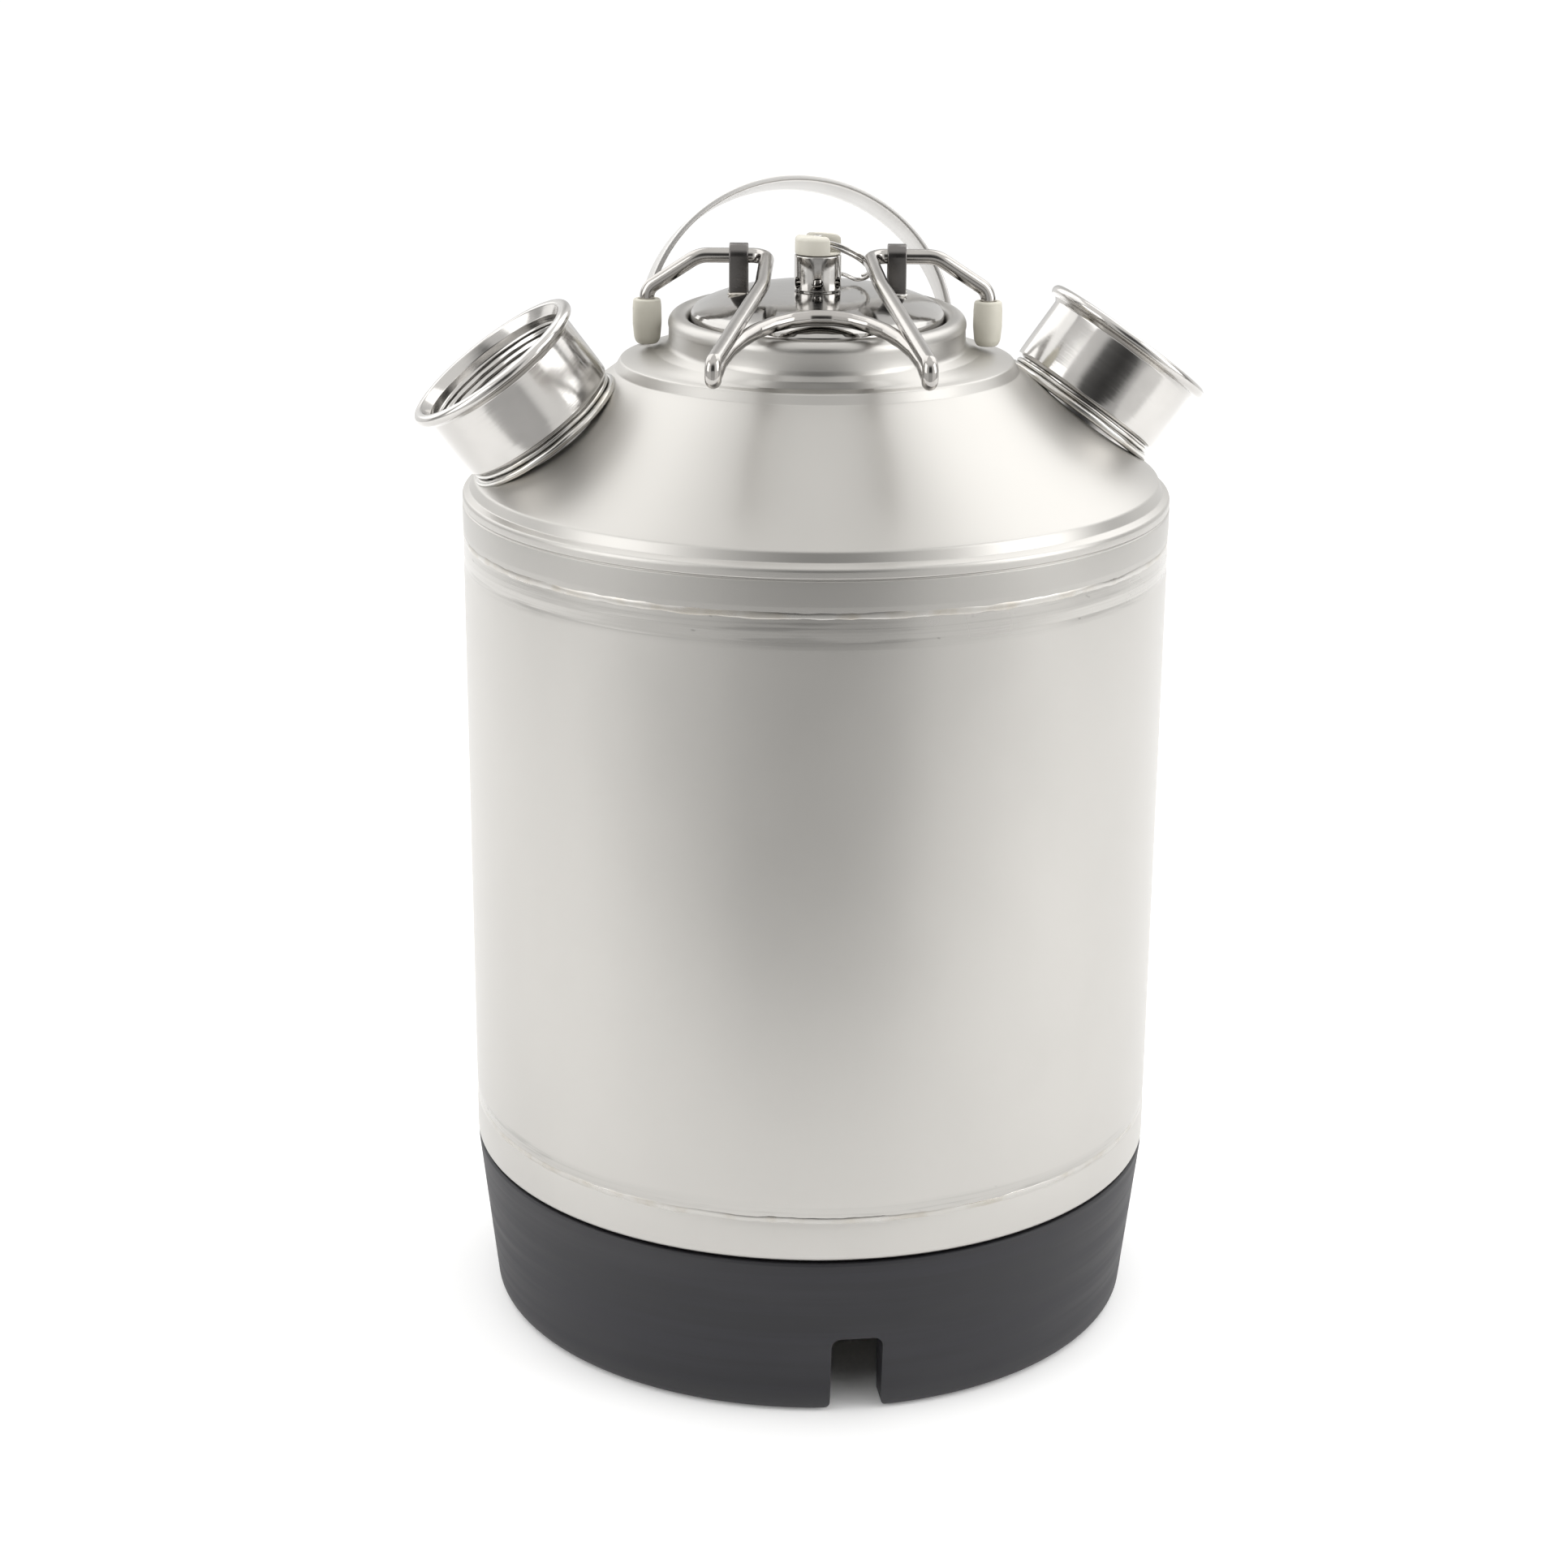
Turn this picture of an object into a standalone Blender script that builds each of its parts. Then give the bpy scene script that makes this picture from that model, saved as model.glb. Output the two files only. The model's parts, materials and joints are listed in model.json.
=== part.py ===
"""Ten litre soda keg: steel body on a rubber base, oval lid held by a wire bail, two slanted necks.

Metres, +Z up. The origin is the middle of the base, on the floor. X is the line that the bail
pivots on, and the bail's lever lies on the -Y side of the lid.
"""

import math

import bmesh
import bpy
from mathutils import Matrix, Vector

MM = 0.001
GAP = 0.3 * MM              # clearance kept between pieces that are welded, glued or resting

# Body
BODY_R = 108 * MM
WALL = 1.4 * MM
BOTTOM_SEAM_Z = 66 * MM
TOP_SEAM_Z = 249 * MM
CONE_ANGLE = math.radians(36.6)
ROUND = 48                  # sides of the large round pieces

# Collar on top of the cone, with the oval opening
RING_R = 60 * MM
RING_Z = 299.5 * MM
STEP_R = 57 * MM
STEP_Z = 304.3 * MM
MOUTH_X, MOUTH_Y = 38.8 * MM, 50 * MM
ROLL_R = 3.1 * MM           # the mouth's rolled edge, outer radius
ROLL_Z = 312.4 * MM         # centre of the roll

# Rubber base
BOOT_TOP_Z = 52.2 * MM
BOOT_FOOT_R = 102.6 * MM
BOOT_INNER_R = 94 * MM
NOTCH_WIDTH, NOTCH_HEIGHT = 15.5 * MM, 25.5 * MM
NOTCH_TURN = math.radians(8.2)

# Necks and handle, turned about Z from the bail's line
NECK_TURN = math.radians(13)
NECK_BASE_R, NECK_BASE_Z = 83 * MM, 282 * MM    # where the neck's axis leaves the cone
NECK_HEIGHT = 28 * MM
NECK_LIP_R, NECK_R, NECK_ROOT_R = 28.85 * MM, 25.65 * MM, 23.3 * MM
NECK_BORE_R, NECK_SEAT_R = 23.5 * MM, 21.2 * MM
HANDLE_BACK = 28 * MM
HANDLE_HALF_WIDTH = 48.5 * MM
HANDLE_FOOT_Z = 304 * MM
HANDLE_RISE = 47 * MM
HANDLE_LEAN = math.radians(16)
HANDLE_WIDE, HANDLE_NARROW = 20 * MM, 7 * MM
HANDLE_THICK = 1.8 * MM

# Lid
LID_X, LID_Y = 38.2 * MM, 49.4 * MM
LID_Z = 322 * MM
CROWN_X, CROWN_Y = 36.5 * MM, 47.7 * MM         # edge of the lid's crowned middle
CROWN_DROP = 4.7 * MM
LID_THICK = 1.6 * MM
FLANGE_X, FLANGE_Y = 43 * MM, 54.2 * MM
FLANGE_Z = 305.6 * MM
GASKET_R = 2.1 * MM

# Bail
PIVOT_Z = 332.2 * MM
WIRE_R = 2.25 * MM
BRACKET_X = 23.7 * MM
BRACKET_WIDTH, BRACKET_THICK = 5.7 * MM, 1.3 * MM
BRACKET_SLACK = 0.25 * MM
ARM_X = 51.5 * MM           # the two rubber feet
ARM_Y = 2.2 * MM
FOOT_TOP_Z, FOOT_BOTTOM_Z = 318.8 * MM, 305.2 * MM
FOOT_R = 4.4 * MM
LEVER_X, LEVER_Y = 29.6 * MM, -95 * MM          # the hairpins at the lever's end
LEVER_SLOPE = 0.165         # the lever's arms fall this much towards the front
LEVER_SKEW = 1.3 * MM       # the hand-bent lever lies a little towards +X
HAIRPIN_R, HAIRPIN_DROP = 2.4 * MM, 5.6 * MM
ARCH_Y, ARCH_Z = -44.8 * MM, 321.0 * MM         # top of the arch between the hairpins

# Relief valve in the middle of the lid
VALVE_R = 7.05 * MM
VALVE_TOP_Z = 332.7 * MM
VALVE_SHANK_R = 6 * MM
VALVE_BORE_R, ORIFICE_R = 4.6 * MM, 2.6 * MM
VALVE_SEAT_Z = 313.5 * MM
VALVE_FOOT_Z = 309.5 * MM
VENT_R, VENT_Z = 1.75 * MM, 324.7 * MM
CAP_TOP_Z = 338.6 * MM
CAP_PLUG_Z = 329.5 * MM
SLOT_HALF = 3 * MM
SLOT_FLOOR_Z = 333.7 * MM
VALVE_TURN = math.radians(-32)                  # direction of the cap's slot
STEM_R = 1.6 * MM
EYE_Z, EYE_R, EYE_HOLE_R = 336.2 * MM, 2.3 * MM, 1.55 * MM
POPPET_Z = 314.9 * MM
SPRING_R, SPRING_WIRE_R, SPRING_TURNS = 3.3 * MM, 0.4 * MM, 5
RING_MEAN_R, RING_WIRE_R = 11.4 * MM, 0.58 * MM
RING_LEAN = math.radians(34)


def clear_scene():
    for obj in list(bpy.data.objects):
        bpy.data.objects.remove(obj)


def material(name, colour, roughness, metallic):
    made = bpy.data.materials.new(name)
    made.use_nodes = True
    shader = made.node_tree.nodes["Principled BSDF"]
    shader.inputs["Base Color"].default_value = (*colour, 1)
    shader.inputs["Roughness"].default_value = roughness
    shader.inputs["Metallic"].default_value = metallic
    return made


def place(name, data, look, matrix=None):
    """An object of this mesh or curve, with a material of its own."""
    obj = bpy.data.objects.new(name, data)
    bpy.context.scene.collection.objects.link(obj)
    data.materials.append(material(name, *look))
    if matrix is not None:
        obj.matrix_world = matrix
    if obj.type == "MESH":
        data.shade_smooth()
        data.set_sharp_from_angle(angle=math.radians(40))
    return obj


def joint_empty(name, position):
    """An empty on a joint's axis, which the moving pieces are parented to."""
    empty = bpy.data.objects.new(name, None)
    empty.location = position
    bpy.context.scene.collection.objects.link(empty)
    bpy.context.view_layer.update()
    return empty


def hang(parent, *pieces):
    for piece in pieces:
        piece.parent = parent
        piece.matrix_parent_inverse = parent.matrix_world.inverted()


def cut(obj, cutters):
    for cutter in cutters:
        cutter.hide_render = True
        cutter.display_type = "WIRE"
        boolean = obj.modifiers.new("Cut " + cutter.name, "BOOLEAN")
        boolean.operation = "DIFFERENCE"
        boolean.object = cutter


def thicken(obj, thickness, offset=-1):
    """Makes a sheet solid, inwards from its outer skin unless told otherwise."""
    solidify = obj.modifiers.new("Thickness", "SOLIDIFY")
    solidify.thickness = thickness
    solidify.offset = offset
    solidify.use_even_offset = True
    return solidify


def loft(rings, closed=False):
    """A mesh over rings of points; a ring of one point is a pole. Closed joins the last to the first."""
    bm = bmesh.new()
    rows = [[bm.verts.new(point) for point in ring] for ring in rings]
    sides = max(len(row) for row in rows)
    for low, high in zip(rows, rows[1:] + rows[:1] if closed else rows[1:]):
        for i in range(sides):
            corners = []
            for row, step in ((low, i), (low, i + 1), (high, i + 1), (high, i)):
                corner = row[step % len(row)]
                if corner not in corners:
                    corners.append(corner)
            bm.faces.new(corners)
    if not any(edge.is_boundary for edge in bm.edges):
        bmesh.ops.recalc_face_normals(bm, faces=bm.faces)
    mesh = bpy.data.meshes.new("loft")
    bm.to_mesh(mesh)
    bm.free()
    return mesh


def oval(half_x, half_y, z, sides):
    if half_x == 0:
        return [Vector((0, 0, z))]
    turns = (2 * math.pi * i / sides for i in range(sides))
    return [Vector((half_x * math.cos(a), half_y * math.sin(a), z)) for a in turns]


def turned(profile, sides, closed=False):
    """A mesh turned about Z from (radius, height) points that run up its outer side."""
    return loft([oval(radius, radius, z, sides) for radius, z in profile], closed)


def arc(centre, radius, start, end, steps):
    """Points on an arc in the plane of a profile, angles in degrees."""
    angles = (math.radians(start + (end - start) * i / steps) for i in range(steps + 1))
    return [(centre[0] + radius * math.cos(a), centre[1] + radius * math.sin(a)) for a in angles]


def rounded_path(corners, step=math.radians(18)):
    """Points along straight runs between corners, each corner (point, radius) eased by an arc."""
    points = [corners[0][0]]
    for (before, _), (corner, radius), (after, _) in zip(corners, corners[1:], corners[2:]):
        if radius == 0:
            points.append(corner)
            continue
        inward = (before - corner).normalized()
        outward = (after - corner).normalized()
        half = inward.angle(outward) / 2
        centre = corner + (inward + outward).normalized() * (radius / math.sin(half))
        start = corner + inward * (radius / math.tan(half)) - centre
        end = corner + outward * (radius / math.tan(half)) - centre
        sweep = start.angle(end)
        count = max(2, round(sweep / step))
        for i in range(count + 1):
            share = i / count
            points.append(centre + (start * math.sin((1 - share) * sweep)
                                    + end * math.sin(share * sweep)) / math.sin(sweep))
    points.append(corners[-1][0])
    return points


def wire(name, points, radius, look, fineness=3):
    """A round wire through these points, with flat ends."""
    curve = bpy.data.curves.new(name, "CURVE")
    curve.dimensions = "3D"
    curve.bevel_depth = radius
    curve.bevel_resolution = fineness
    curve.use_fill_caps = True
    spline = curve.splines.new("POLY")
    spline.points.add(len(points) - 1)
    for point, place_at in zip(spline.points, points):
        point.co = (*place_at, 1)
    return place(name, curve, look)


def box(name, low, high, matrix=None):
    mesh = bpy.data.meshes.new(name)
    bm = bmesh.new()
    bmesh.ops.create_cube(bm, size=1)
    size = Vector(high) - Vector(low)
    middle = (Vector(high) + Vector(low)) / 2
    bmesh.ops.transform(bm, verts=bm.verts, matrix=Matrix.Translation(middle) @ Matrix.Diagonal((*size, 1)))
    bm.to_mesh(mesh)
    bm.free()
    return place(name, mesh, CUTTER, matrix)


def rod(name, radius, low, high, matrix, sides=24):
    """A plain cylinder along its own Z."""
    mesh = turned([(0, low), (radius, low), (radius, high), (0, high)], sides)
    return place(name, mesh, CUTTER, matrix)


CUTTER = ((0.5, 0.5, 0.5), 0.5, 0.0)
SATIN_STEEL = ((0.62, 0.61, 0.59), 0.34, 1.0)
POLISHED_STEEL = ((0.72, 0.71, 0.70), 0.12, 1.0)
CREAM_RUBBER = ((0.62, 0.60, 0.50), 0.55, 0.0)
BLACK_RUBBER = ((0.024, 0.023, 0.026), 0.6, 0.0)


def neck_matrix(side):
    """Along the neck, out of the cone, from where the neck's axis meets the cone."""
    turn = Matrix.Rotation(NECK_TURN + (math.pi if side < 0 else 0), 4, "Z")
    return turn @ Matrix.Translation((NECK_BASE_R, 0, NECK_BASE_Z)) @ Matrix.Rotation(CONE_ANGLE, 4, "Y")


def cone_z(radius):
    return RING_Z - (radius - RING_R) * math.tan(CONE_ANGLE)


def body_cylinder():
    mesh = turned([(BODY_R, BOTTOM_SEAM_Z + GAP), (BODY_R, TOP_SEAM_Z - GAP)], ROUND)
    tube = place("body_cylinder", mesh, SATIN_STEEL)
    thicken(tube, WALL)


def top_dome():
    shoulder_z = cone_z(BODY_R)
    rings = [(r, r, z) for r, z in (
        (BODY_R, TOP_SEAM_Z),
        (BODY_R, shoulder_z - 5.0 * MM),
        (BODY_R - 0.6 * MM, shoulder_z - 3.6 * MM),
        (BODY_R - 0.1 * MM, shoulder_z - 2.0 * MM),
        (BODY_R - 0.4 * MM, shoulder_z - 0.6 * MM),
        (BODY_R - 1.6 * MM, cone_z(BODY_R - 1.6 * MM) - 0.6 * MM),
        (BODY_R - 5.0 * MM, cone_z(BODY_R - 5.0 * MM)),
        (RING_R + 1.2 * MM, cone_z(RING_R + 1.2 * MM)),
        (RING_R - 0.2 * MM, RING_Z + 1.3 * MM),
        (RING_R - 1.5 * MM, RING_Z + 2.3 * MM),
        (STEP_R, RING_Z + 2.8 * MM),
    )]
    wall_x, wall_y = MOUTH_X + 2 * ROLL_R, MOUTH_Y + 2 * ROLL_R
    rings += [
        (wall_x + 4.4 * MM, wall_y + 0.8 * MM, STEP_Z),
        (wall_x + 2.0 * MM, wall_y + 0.6 * MM, STEP_Z + 0.7 * MM),
        (wall_x + 0.6 * MM, wall_y + 0.3 * MM, STEP_Z + 2.2 * MM),
        (wall_x, wall_y, STEP_Z + 4.4 * MM),
    ]
    rings += [(x, x - MOUTH_X + MOUTH_Y, z)
              for x, z in arc((MOUTH_X + ROLL_R, ROLL_Z), ROLL_R, 0, 180, 6)]
    rings.append((MOUTH_X, MOUTH_Y, ROLL_Z - 2 * MM))
    dome = place("top_dome", loft([oval(x, y, z, ROUND) for x, y, z in rings]), SATIN_STEEL)
    thicken(dome, WALL)
    cut(dome, [rod(f"neck_hole_{side}", NECK_ROOT_R + GAP, -12 * MM, 12 * MM, neck_matrix(side), 32)
               for side in (-1, 1)])


def bottom_dome():
    """Pressed dish: a straight skirt, a step in for the rubber base, a knuckle and a shallow crown."""
    seat_r, knuckle_r, crown_r = BODY_R - 3.6 * MM, 20 * MM, 240 * MM
    knuckle = (seat_r - knuckle_r, BOOT_TOP_Z - 6 * MM)
    lift = math.sqrt((crown_r - knuckle_r) ** 2 - knuckle[0] ** 2)
    crown_half = math.degrees(math.asin(knuckle[0] / (crown_r - knuckle_r)))
    crown = arc((0, knuckle[1] + lift), crown_r, -90, -90 + crown_half, 2)
    crown[0] = (0, crown[0][1])
    profile = crown + arc(knuckle, knuckle_r, -90 + crown_half, 0, 4)[1:]
    profile += [(seat_r, BOOT_TOP_Z - 0.6 * MM)]
    profile += arc((BODY_R - 1.6 * MM, BOOT_TOP_Z + 2 * MM), 1.6 * MM, -70, 0, 2)
    profile += [(BODY_R, BOTTOM_SEAM_Z)]
    thicken(place("bottom_dome", turned(profile, ROUND), SATIN_STEEL), WALL)


def rubber_boot():
    """Moulded ring that grips the dish's step; two drain notches through its foot."""
    grip_r = BODY_R - 3.6 * MM + GAP
    taper = math.atan((BODY_R - BOOT_FOOT_R) / BOOT_TOP_Z)
    edge = 3.5 * MM
    profile = arc((BOOT_INNER_R + 2 * MM, 2 * MM), 2 * MM, 180, 270, 2)
    profile += arc((BOOT_FOOT_R - edge, edge), edge, -90, math.degrees(-taper), 4)
    profile += [
        (BODY_R - 0.2 * MM, BOOT_TOP_Z - 1.4 * MM),
        (BODY_R - 1.2 * MM, BOOT_TOP_Z - 0.2 * MM),
        (grip_r + 0.4 * MM, BOOT_TOP_Z - 0.6 * MM),
    ]
    profile += arc((grip_r - 20 * MM, BOOT_TOP_Z - 6 * MM), 20 * MM, 0, -50, 3)
    profile += [(BOOT_INNER_R, profile[-1][1] - 3.5 * MM)]
    boot = place("rubber_boot", turned(profile, ROUND, closed=True), BLACK_RUBBER)
    notches = []
    for number, turn in enumerate((NOTCH_TURN, NOTCH_TURN + math.pi)):
        notch = box(f"notch_{number}",
                    (-NOTCH_WIDTH / 2, -BODY_R - 10 * MM, -10 * MM),
                    (NOTCH_WIDTH / 2, -BOOT_INNER_R + 20 * MM, NOTCH_HEIGHT),
                    Matrix.Rotation(turn, 4, "Z"))
        bevel = notch.modifiers.new("Soft corners", "BEVEL")
        bevel.width = 3 * MM
        bevel.segments = 3
        notches.append(notch)
    cut(boot, notches)


def neck(side, name):
    """Turned neck: rolled lip, straight body, narrower root through the cone, stepped bore."""
    lip_z, root_z = NECK_HEIGHT, -4 * MM
    profile = [
        (NECK_ROOT_R, root_z),
        (NECK_ROOT_R, 4 * MM),
        (NECK_R - 0.4 * MM, 6 * MM),
        (NECK_R, 6.8 * MM),
        (NECK_R, lip_z - 5.0 * MM),
        (NECK_R + 0.5 * MM, lip_z - 4.1 * MM),
        (NECK_R + 1.6 * MM, lip_z - 3.6 * MM),
    ]
    profile += arc((NECK_LIP_R - 1.7 * MM, lip_z - 1.75 * MM), 1.7 * MM, -70, 80, 4)
    profile += [
        (NECK_LIP_R - 2.0 * MM, lip_z),
        (NECK_LIP_R - 3.3 * MM, lip_z),
        (NECK_LIP_R - 4.0 * MM, lip_z - 0.5 * MM),
        (NECK_BORE_R, lip_z - 3.4 * MM),
        (NECK_BORE_R, lip_z - 18 * MM),
        (NECK_SEAT_R, lip_z - 20 * MM),
        (NECK_SEAT_R, root_z),
    ]
    place(name, turned(profile, 32, closed=True), POLISHED_STEEL, neck_matrix(side))


def strap_handle():
    """Half an ellipse of flat strap that leans back, wide at the grip and narrow at its feet."""
    steps = 28
    rings = []
    for i in range(steps + 1):
        angle = math.pi * i / steps
        half = (HANDLE_NARROW + (HANDLE_WIDE - HANDLE_NARROW) * math.sin(angle) ** 0.8) / 2
        x, z = HANDLE_HALF_WIDTH * math.cos(angle), HANDLE_RISE * math.sin(angle)
        rings.append([Vector((x, -half, z)), Vector((x, half, z))])
    bm = bmesh.new()
    rows = [[bm.verts.new(point) for point in ring] for ring in rings]
    for (a, b), (c, d) in zip(rows, rows[1:]):
        bm.faces.new((a, b, d, c))
    mesh = bpy.data.meshes.new("strap_handle")
    bm.to_mesh(mesh)
    bm.free()
    stand = Matrix.Rotation(NECK_TURN, 4, "Z") @ Matrix.Translation((0, HANDLE_BACK, HANDLE_FOOT_Z))
    lean = Matrix.Rotation(-HANDLE_LEAN, 4, "X")
    thicken(place("strap_handle", mesh, SATIN_STEEL, stand @ lean), HANDLE_THICK, offset=0)


def crown_z(x, y):
    """Height of the lid's crowned middle, which is flat round the valve and falls away at its edge."""
    return LID_Z - CROWN_DROP * ((x / CROWN_X) ** 2 + (y / CROWN_Y) ** 2) ** 2


def lid_plate():
    """Pressed oval: a crowned middle, a low shoulder, a wall and a flange below the mouth's lip."""
    rings = [
        (VALVE_SHANK_R + 0.4 * MM, VALVE_SHANK_R + 0.4 * MM, LID_Z),
        (VALVE_R + 2 * MM, VALVE_R + 3 * MM, LID_Z),
    ]
    rings += [(CROWN_X * share, CROWN_Y * share, LID_Z - CROWN_DROP * share ** 4)
              for share in (0.45, 0.6, 0.72, 0.82, 0.9, 0.96, 1)]
    rings += [
        (LID_X - 0.7 * MM, LID_Y - 0.7 * MM, LID_Z - 5.0 * MM),
        (LID_X - 0.1 * MM, LID_Y - 0.1 * MM, LID_Z - 5.7 * MM),
        (LID_X, LID_Y, LID_Z - 7.2 * MM),
        (LID_X, LID_Y, FLANGE_Z + 2.4 * MM),
        (LID_X + 0.7 * MM, LID_Y + 0.7 * MM, FLANGE_Z + 0.7 * MM),
        (LID_X + 2.4 * MM, LID_Y + 2.4 * MM, FLANGE_Z),
        (FLANGE_X, FLANGE_Y, FLANGE_Z),
    ]
    mesh = loft([oval(x, y, z, 48) for x, y, z in reversed(rings)])
    thicken(place("lid_plate", mesh, POLISHED_STEEL), LID_THICK)


def lid_gasket():
    middle_x = MOUTH_X + 2.4 * MM
    section = arc((middle_x, FLANGE_Z + GASKET_R + GAP), GASKET_R, 0, 315, 7)
    rings = [oval(x, x - MOUTH_X + MOUTH_Y, z, 48) for x, z in section]
    place("lid_gasket", loft(rings, closed=True), BLACK_RUBBER)


def bail_bracket(side, name):
    """A strap bent over the wire, standing on the lid."""
    inner_r = WIRE_R + BRACKET_SLACK
    half = BRACKET_WIDTH / 2
    feet = [crown_z(side * BRACKET_X + x, inner_r) - PIVOT_Z + GAP for x in (-half, half)]
    mesh = bpy.data.meshes.new(name)
    bm = bmesh.new()
    rows = [[bm.verts.new((x, y, z)) for x in (-half, half)] for y, z in arc((0, 0), inner_r, 0, 180, 8)]
    back, front = ([bm.verts.new((x, y, z)) for x, z in zip((-half, half), feet)]
                   for y in (inner_r, -inner_r))
    rows = [back, *rows, front]
    for (a, b), (c, d) in zip(rows, rows[1:]):
        bm.faces.new((a, b, d, c))
    bm.to_mesh(mesh)
    bm.free()
    bracket = place(name, mesh, POLISHED_STEEL, Matrix.Translation((side * BRACKET_X, 0, PIVOT_Z)))
    thicken(bracket, BRACKET_THICK)


def bail_wire():
    """One wire: a foot, an arm over the lid, the lever's hairpins and arch, then the same back.

    Each hairpin stands upright, with the lever's arm above the end of the arch.
    """
    tip_z = PIVOT_Z + LEVER_SLOPE * LEVER_Y

    def half(side):
        return [
            (Vector((side * ARM_X, ARM_Y, FOOT_TOP_Z - 9 * MM)), 0),
            (Vector((side * ARM_X, ARM_Y, FOOT_TOP_Z + 2.9 * MM)), 5 * MM),
            (Vector((side * (ARM_X - 15.8 * MM), 0, PIVOT_Z)), 9 * MM),
            (Vector((side * 15.2 * MM, 0, PIVOT_Z)), 4.6 * MM),
            (Vector((side * 17.4 * MM + LEVER_SKEW, -28 * MM, PIVOT_Z - LEVER_SLOPE * 28 * MM)), 40 * MM),
            (Vector((side * LEVER_X + LEVER_SKEW, LEVER_Y, tip_z)), HAIRPIN_R),
            (Vector((side * LEVER_X + LEVER_SKEW, LEVER_Y, tip_z - HAIRPIN_DROP)), HAIRPIN_R),
        ]

    steps = 16
    low_z = tip_z - HAIRPIN_DROP
    turns = [math.pi * (i + 0.5) / steps for i in range(steps)]
    arch = [(Vector((LEVER_SKEW - LEVER_X * math.cos(a), LEVER_Y + (ARCH_Y - LEVER_Y) * math.sin(a),
                     low_z + (ARCH_Z - low_z) * math.sin(a))), 0) for a in turns]
    path = rounded_path(half(-1) + arch + half(1)[::-1])
    return wire("bail_wire", path, WIRE_R, POLISHED_STEEL, fineness=2)


def bail_foot(side, name):
    """Rubber foot pushed over the wire's end: slightly barrelled, with a soft bottom edge."""
    height = FOOT_TOP_Z - FOOT_BOTTOM_Z
    hole_r = WIRE_R + 0.2 * MM
    profile = [
        (0, 0),
        (FOOT_R - 2.4 * MM, 0),
        (FOOT_R - 1.2 * MM, 0.45 * MM),
        (FOOT_R - 0.6 * MM, 1.5 * MM),
        (FOOT_R, height * 0.45),
        (FOOT_R, height * 0.8),
        (FOOT_R - 0.25 * MM, height - 0.5 * MM),
        (FOOT_R - 0.8 * MM, height),
        (hole_r, height),
        (hole_r, height - 9.3 * MM),
        (0, height - 9.3 * MM),
    ]
    spot = Matrix.Translation((side * ARM_X, ARM_Y, FOOT_BOTTOM_Z))
    return place(name, turned(profile, 16), CREAM_RUBBER, spot)


def prv_boss():
    """Threaded bush welded under the lid."""
    top, bottom = LID_Z - LID_THICK - GAP, LID_Z - 10 * MM
    bore = VALVE_SHANK_R + 0.3 * MM
    profile = [(bore, bottom), (10 * MM, bottom), (10 * MM, top), (bore, top)]
    place("prv_boss", turned(profile, 24, closed=True), SATIN_STEEL)


def valve_matrix():
    return Matrix.Rotation(VALVE_TURN, 4, "Z")


def prv_body():
    head_z = LID_Z + GAP
    profile = [
        (ORIFICE_R, VALVE_FOOT_Z),
        (VALVE_SHANK_R, VALVE_FOOT_Z),
        (VALVE_SHANK_R, head_z),
        (VALVE_R - 0.3 * MM, head_z),
        (VALVE_R, head_z + 0.3 * MM),
        (VALVE_R, VALVE_TOP_Z - 0.3 * MM),
        (VALVE_R - 0.3 * MM, VALVE_TOP_Z),
        (VALVE_BORE_R, VALVE_TOP_Z),
        (VALVE_BORE_R, VALVE_SEAT_Z),
        (ORIFICE_R, VALVE_SEAT_Z),
    ]
    body = place("prv_body", turned(profile, 24, closed=True), POLISHED_STEEL)
    vents = []
    for number in range(3):
        turn = Matrix.Rotation(math.radians(90 + 60 * number), 4, "Z")
        across = Matrix.Translation((0, 0, VENT_Z)) @ turn @ Matrix.Rotation(math.pi / 2, 4, "Y")
        vents.append(rod(f"vent_{number}", VENT_R, -12 * MM, 12 * MM, across, 10))
    cut(body, vents)


def prv_cap():
    """Two-lobed cap with a plug into the valve's bore; the slot takes the stem's eye and the ring."""
    radius = VALVE_R - 0.15 * MM
    hole = STEM_R + 0.3 * MM
    base_z = VALVE_TOP_Z + GAP
    profile = [
        (hole, CAP_PLUG_Z),
        (VALVE_BORE_R - 0.2 * MM, CAP_PLUG_Z),
        (VALVE_BORE_R - 0.2 * MM, base_z),
        (radius, base_z),
        (radius, CAP_TOP_Z - 1.6 * MM),
        (radius - 0.4 * MM, CAP_TOP_Z - 0.6 * MM),
        (radius - 1.3 * MM, CAP_TOP_Z),
        (hole, CAP_TOP_Z),
    ]
    cap = place("prv_cap", turned(profile, 24, closed=True), CREAM_RUBBER)
    slot = box("slot", (-10 * MM, -SLOT_HALF, SLOT_FLOOR_Z), (10 * MM, SLOT_HALF, CAP_TOP_Z + 5 * MM),
               valve_matrix())
    cut(cap, [slot])


def prv_stem():
    """Pull stem: a rivet head in the orifice, a rod, and a flat eye that the ring goes through."""
    head_z = VALVE_SEAT_Z - 2 * MM
    profile = [
        (0, head_z),
        (2.2 * MM, head_z),
        (2.2 * MM, VALVE_SEAT_Z),
        (STEM_R, VALVE_SEAT_Z),
        (STEM_R, EYE_Z - 0.8 * EYE_R),
        (0, EYE_Z - 0.8 * EYE_R),
    ]
    stem = place("prv_stem", turned(profile, 12), POLISHED_STEEL, valve_matrix())
    lay = valve_matrix() @ Matrix.Translation((0, 0, EYE_Z)) @ Matrix.Rotation(math.pi / 2, 4, "Y")
    eye = rod("eye", EYE_R, -1.1 * MM, 1.1 * MM, lay, 20)
    eye.hide_render = True
    eye.display_type = "WIRE"
    union = stem.modifiers.new("Eye", "BOOLEAN")
    union.operation = "UNION"
    union.object = eye
    cut(stem, [rod("eye_hole", EYE_HOLE_R, -5 * MM, 5 * MM, lay, 12)])
    return stem


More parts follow.
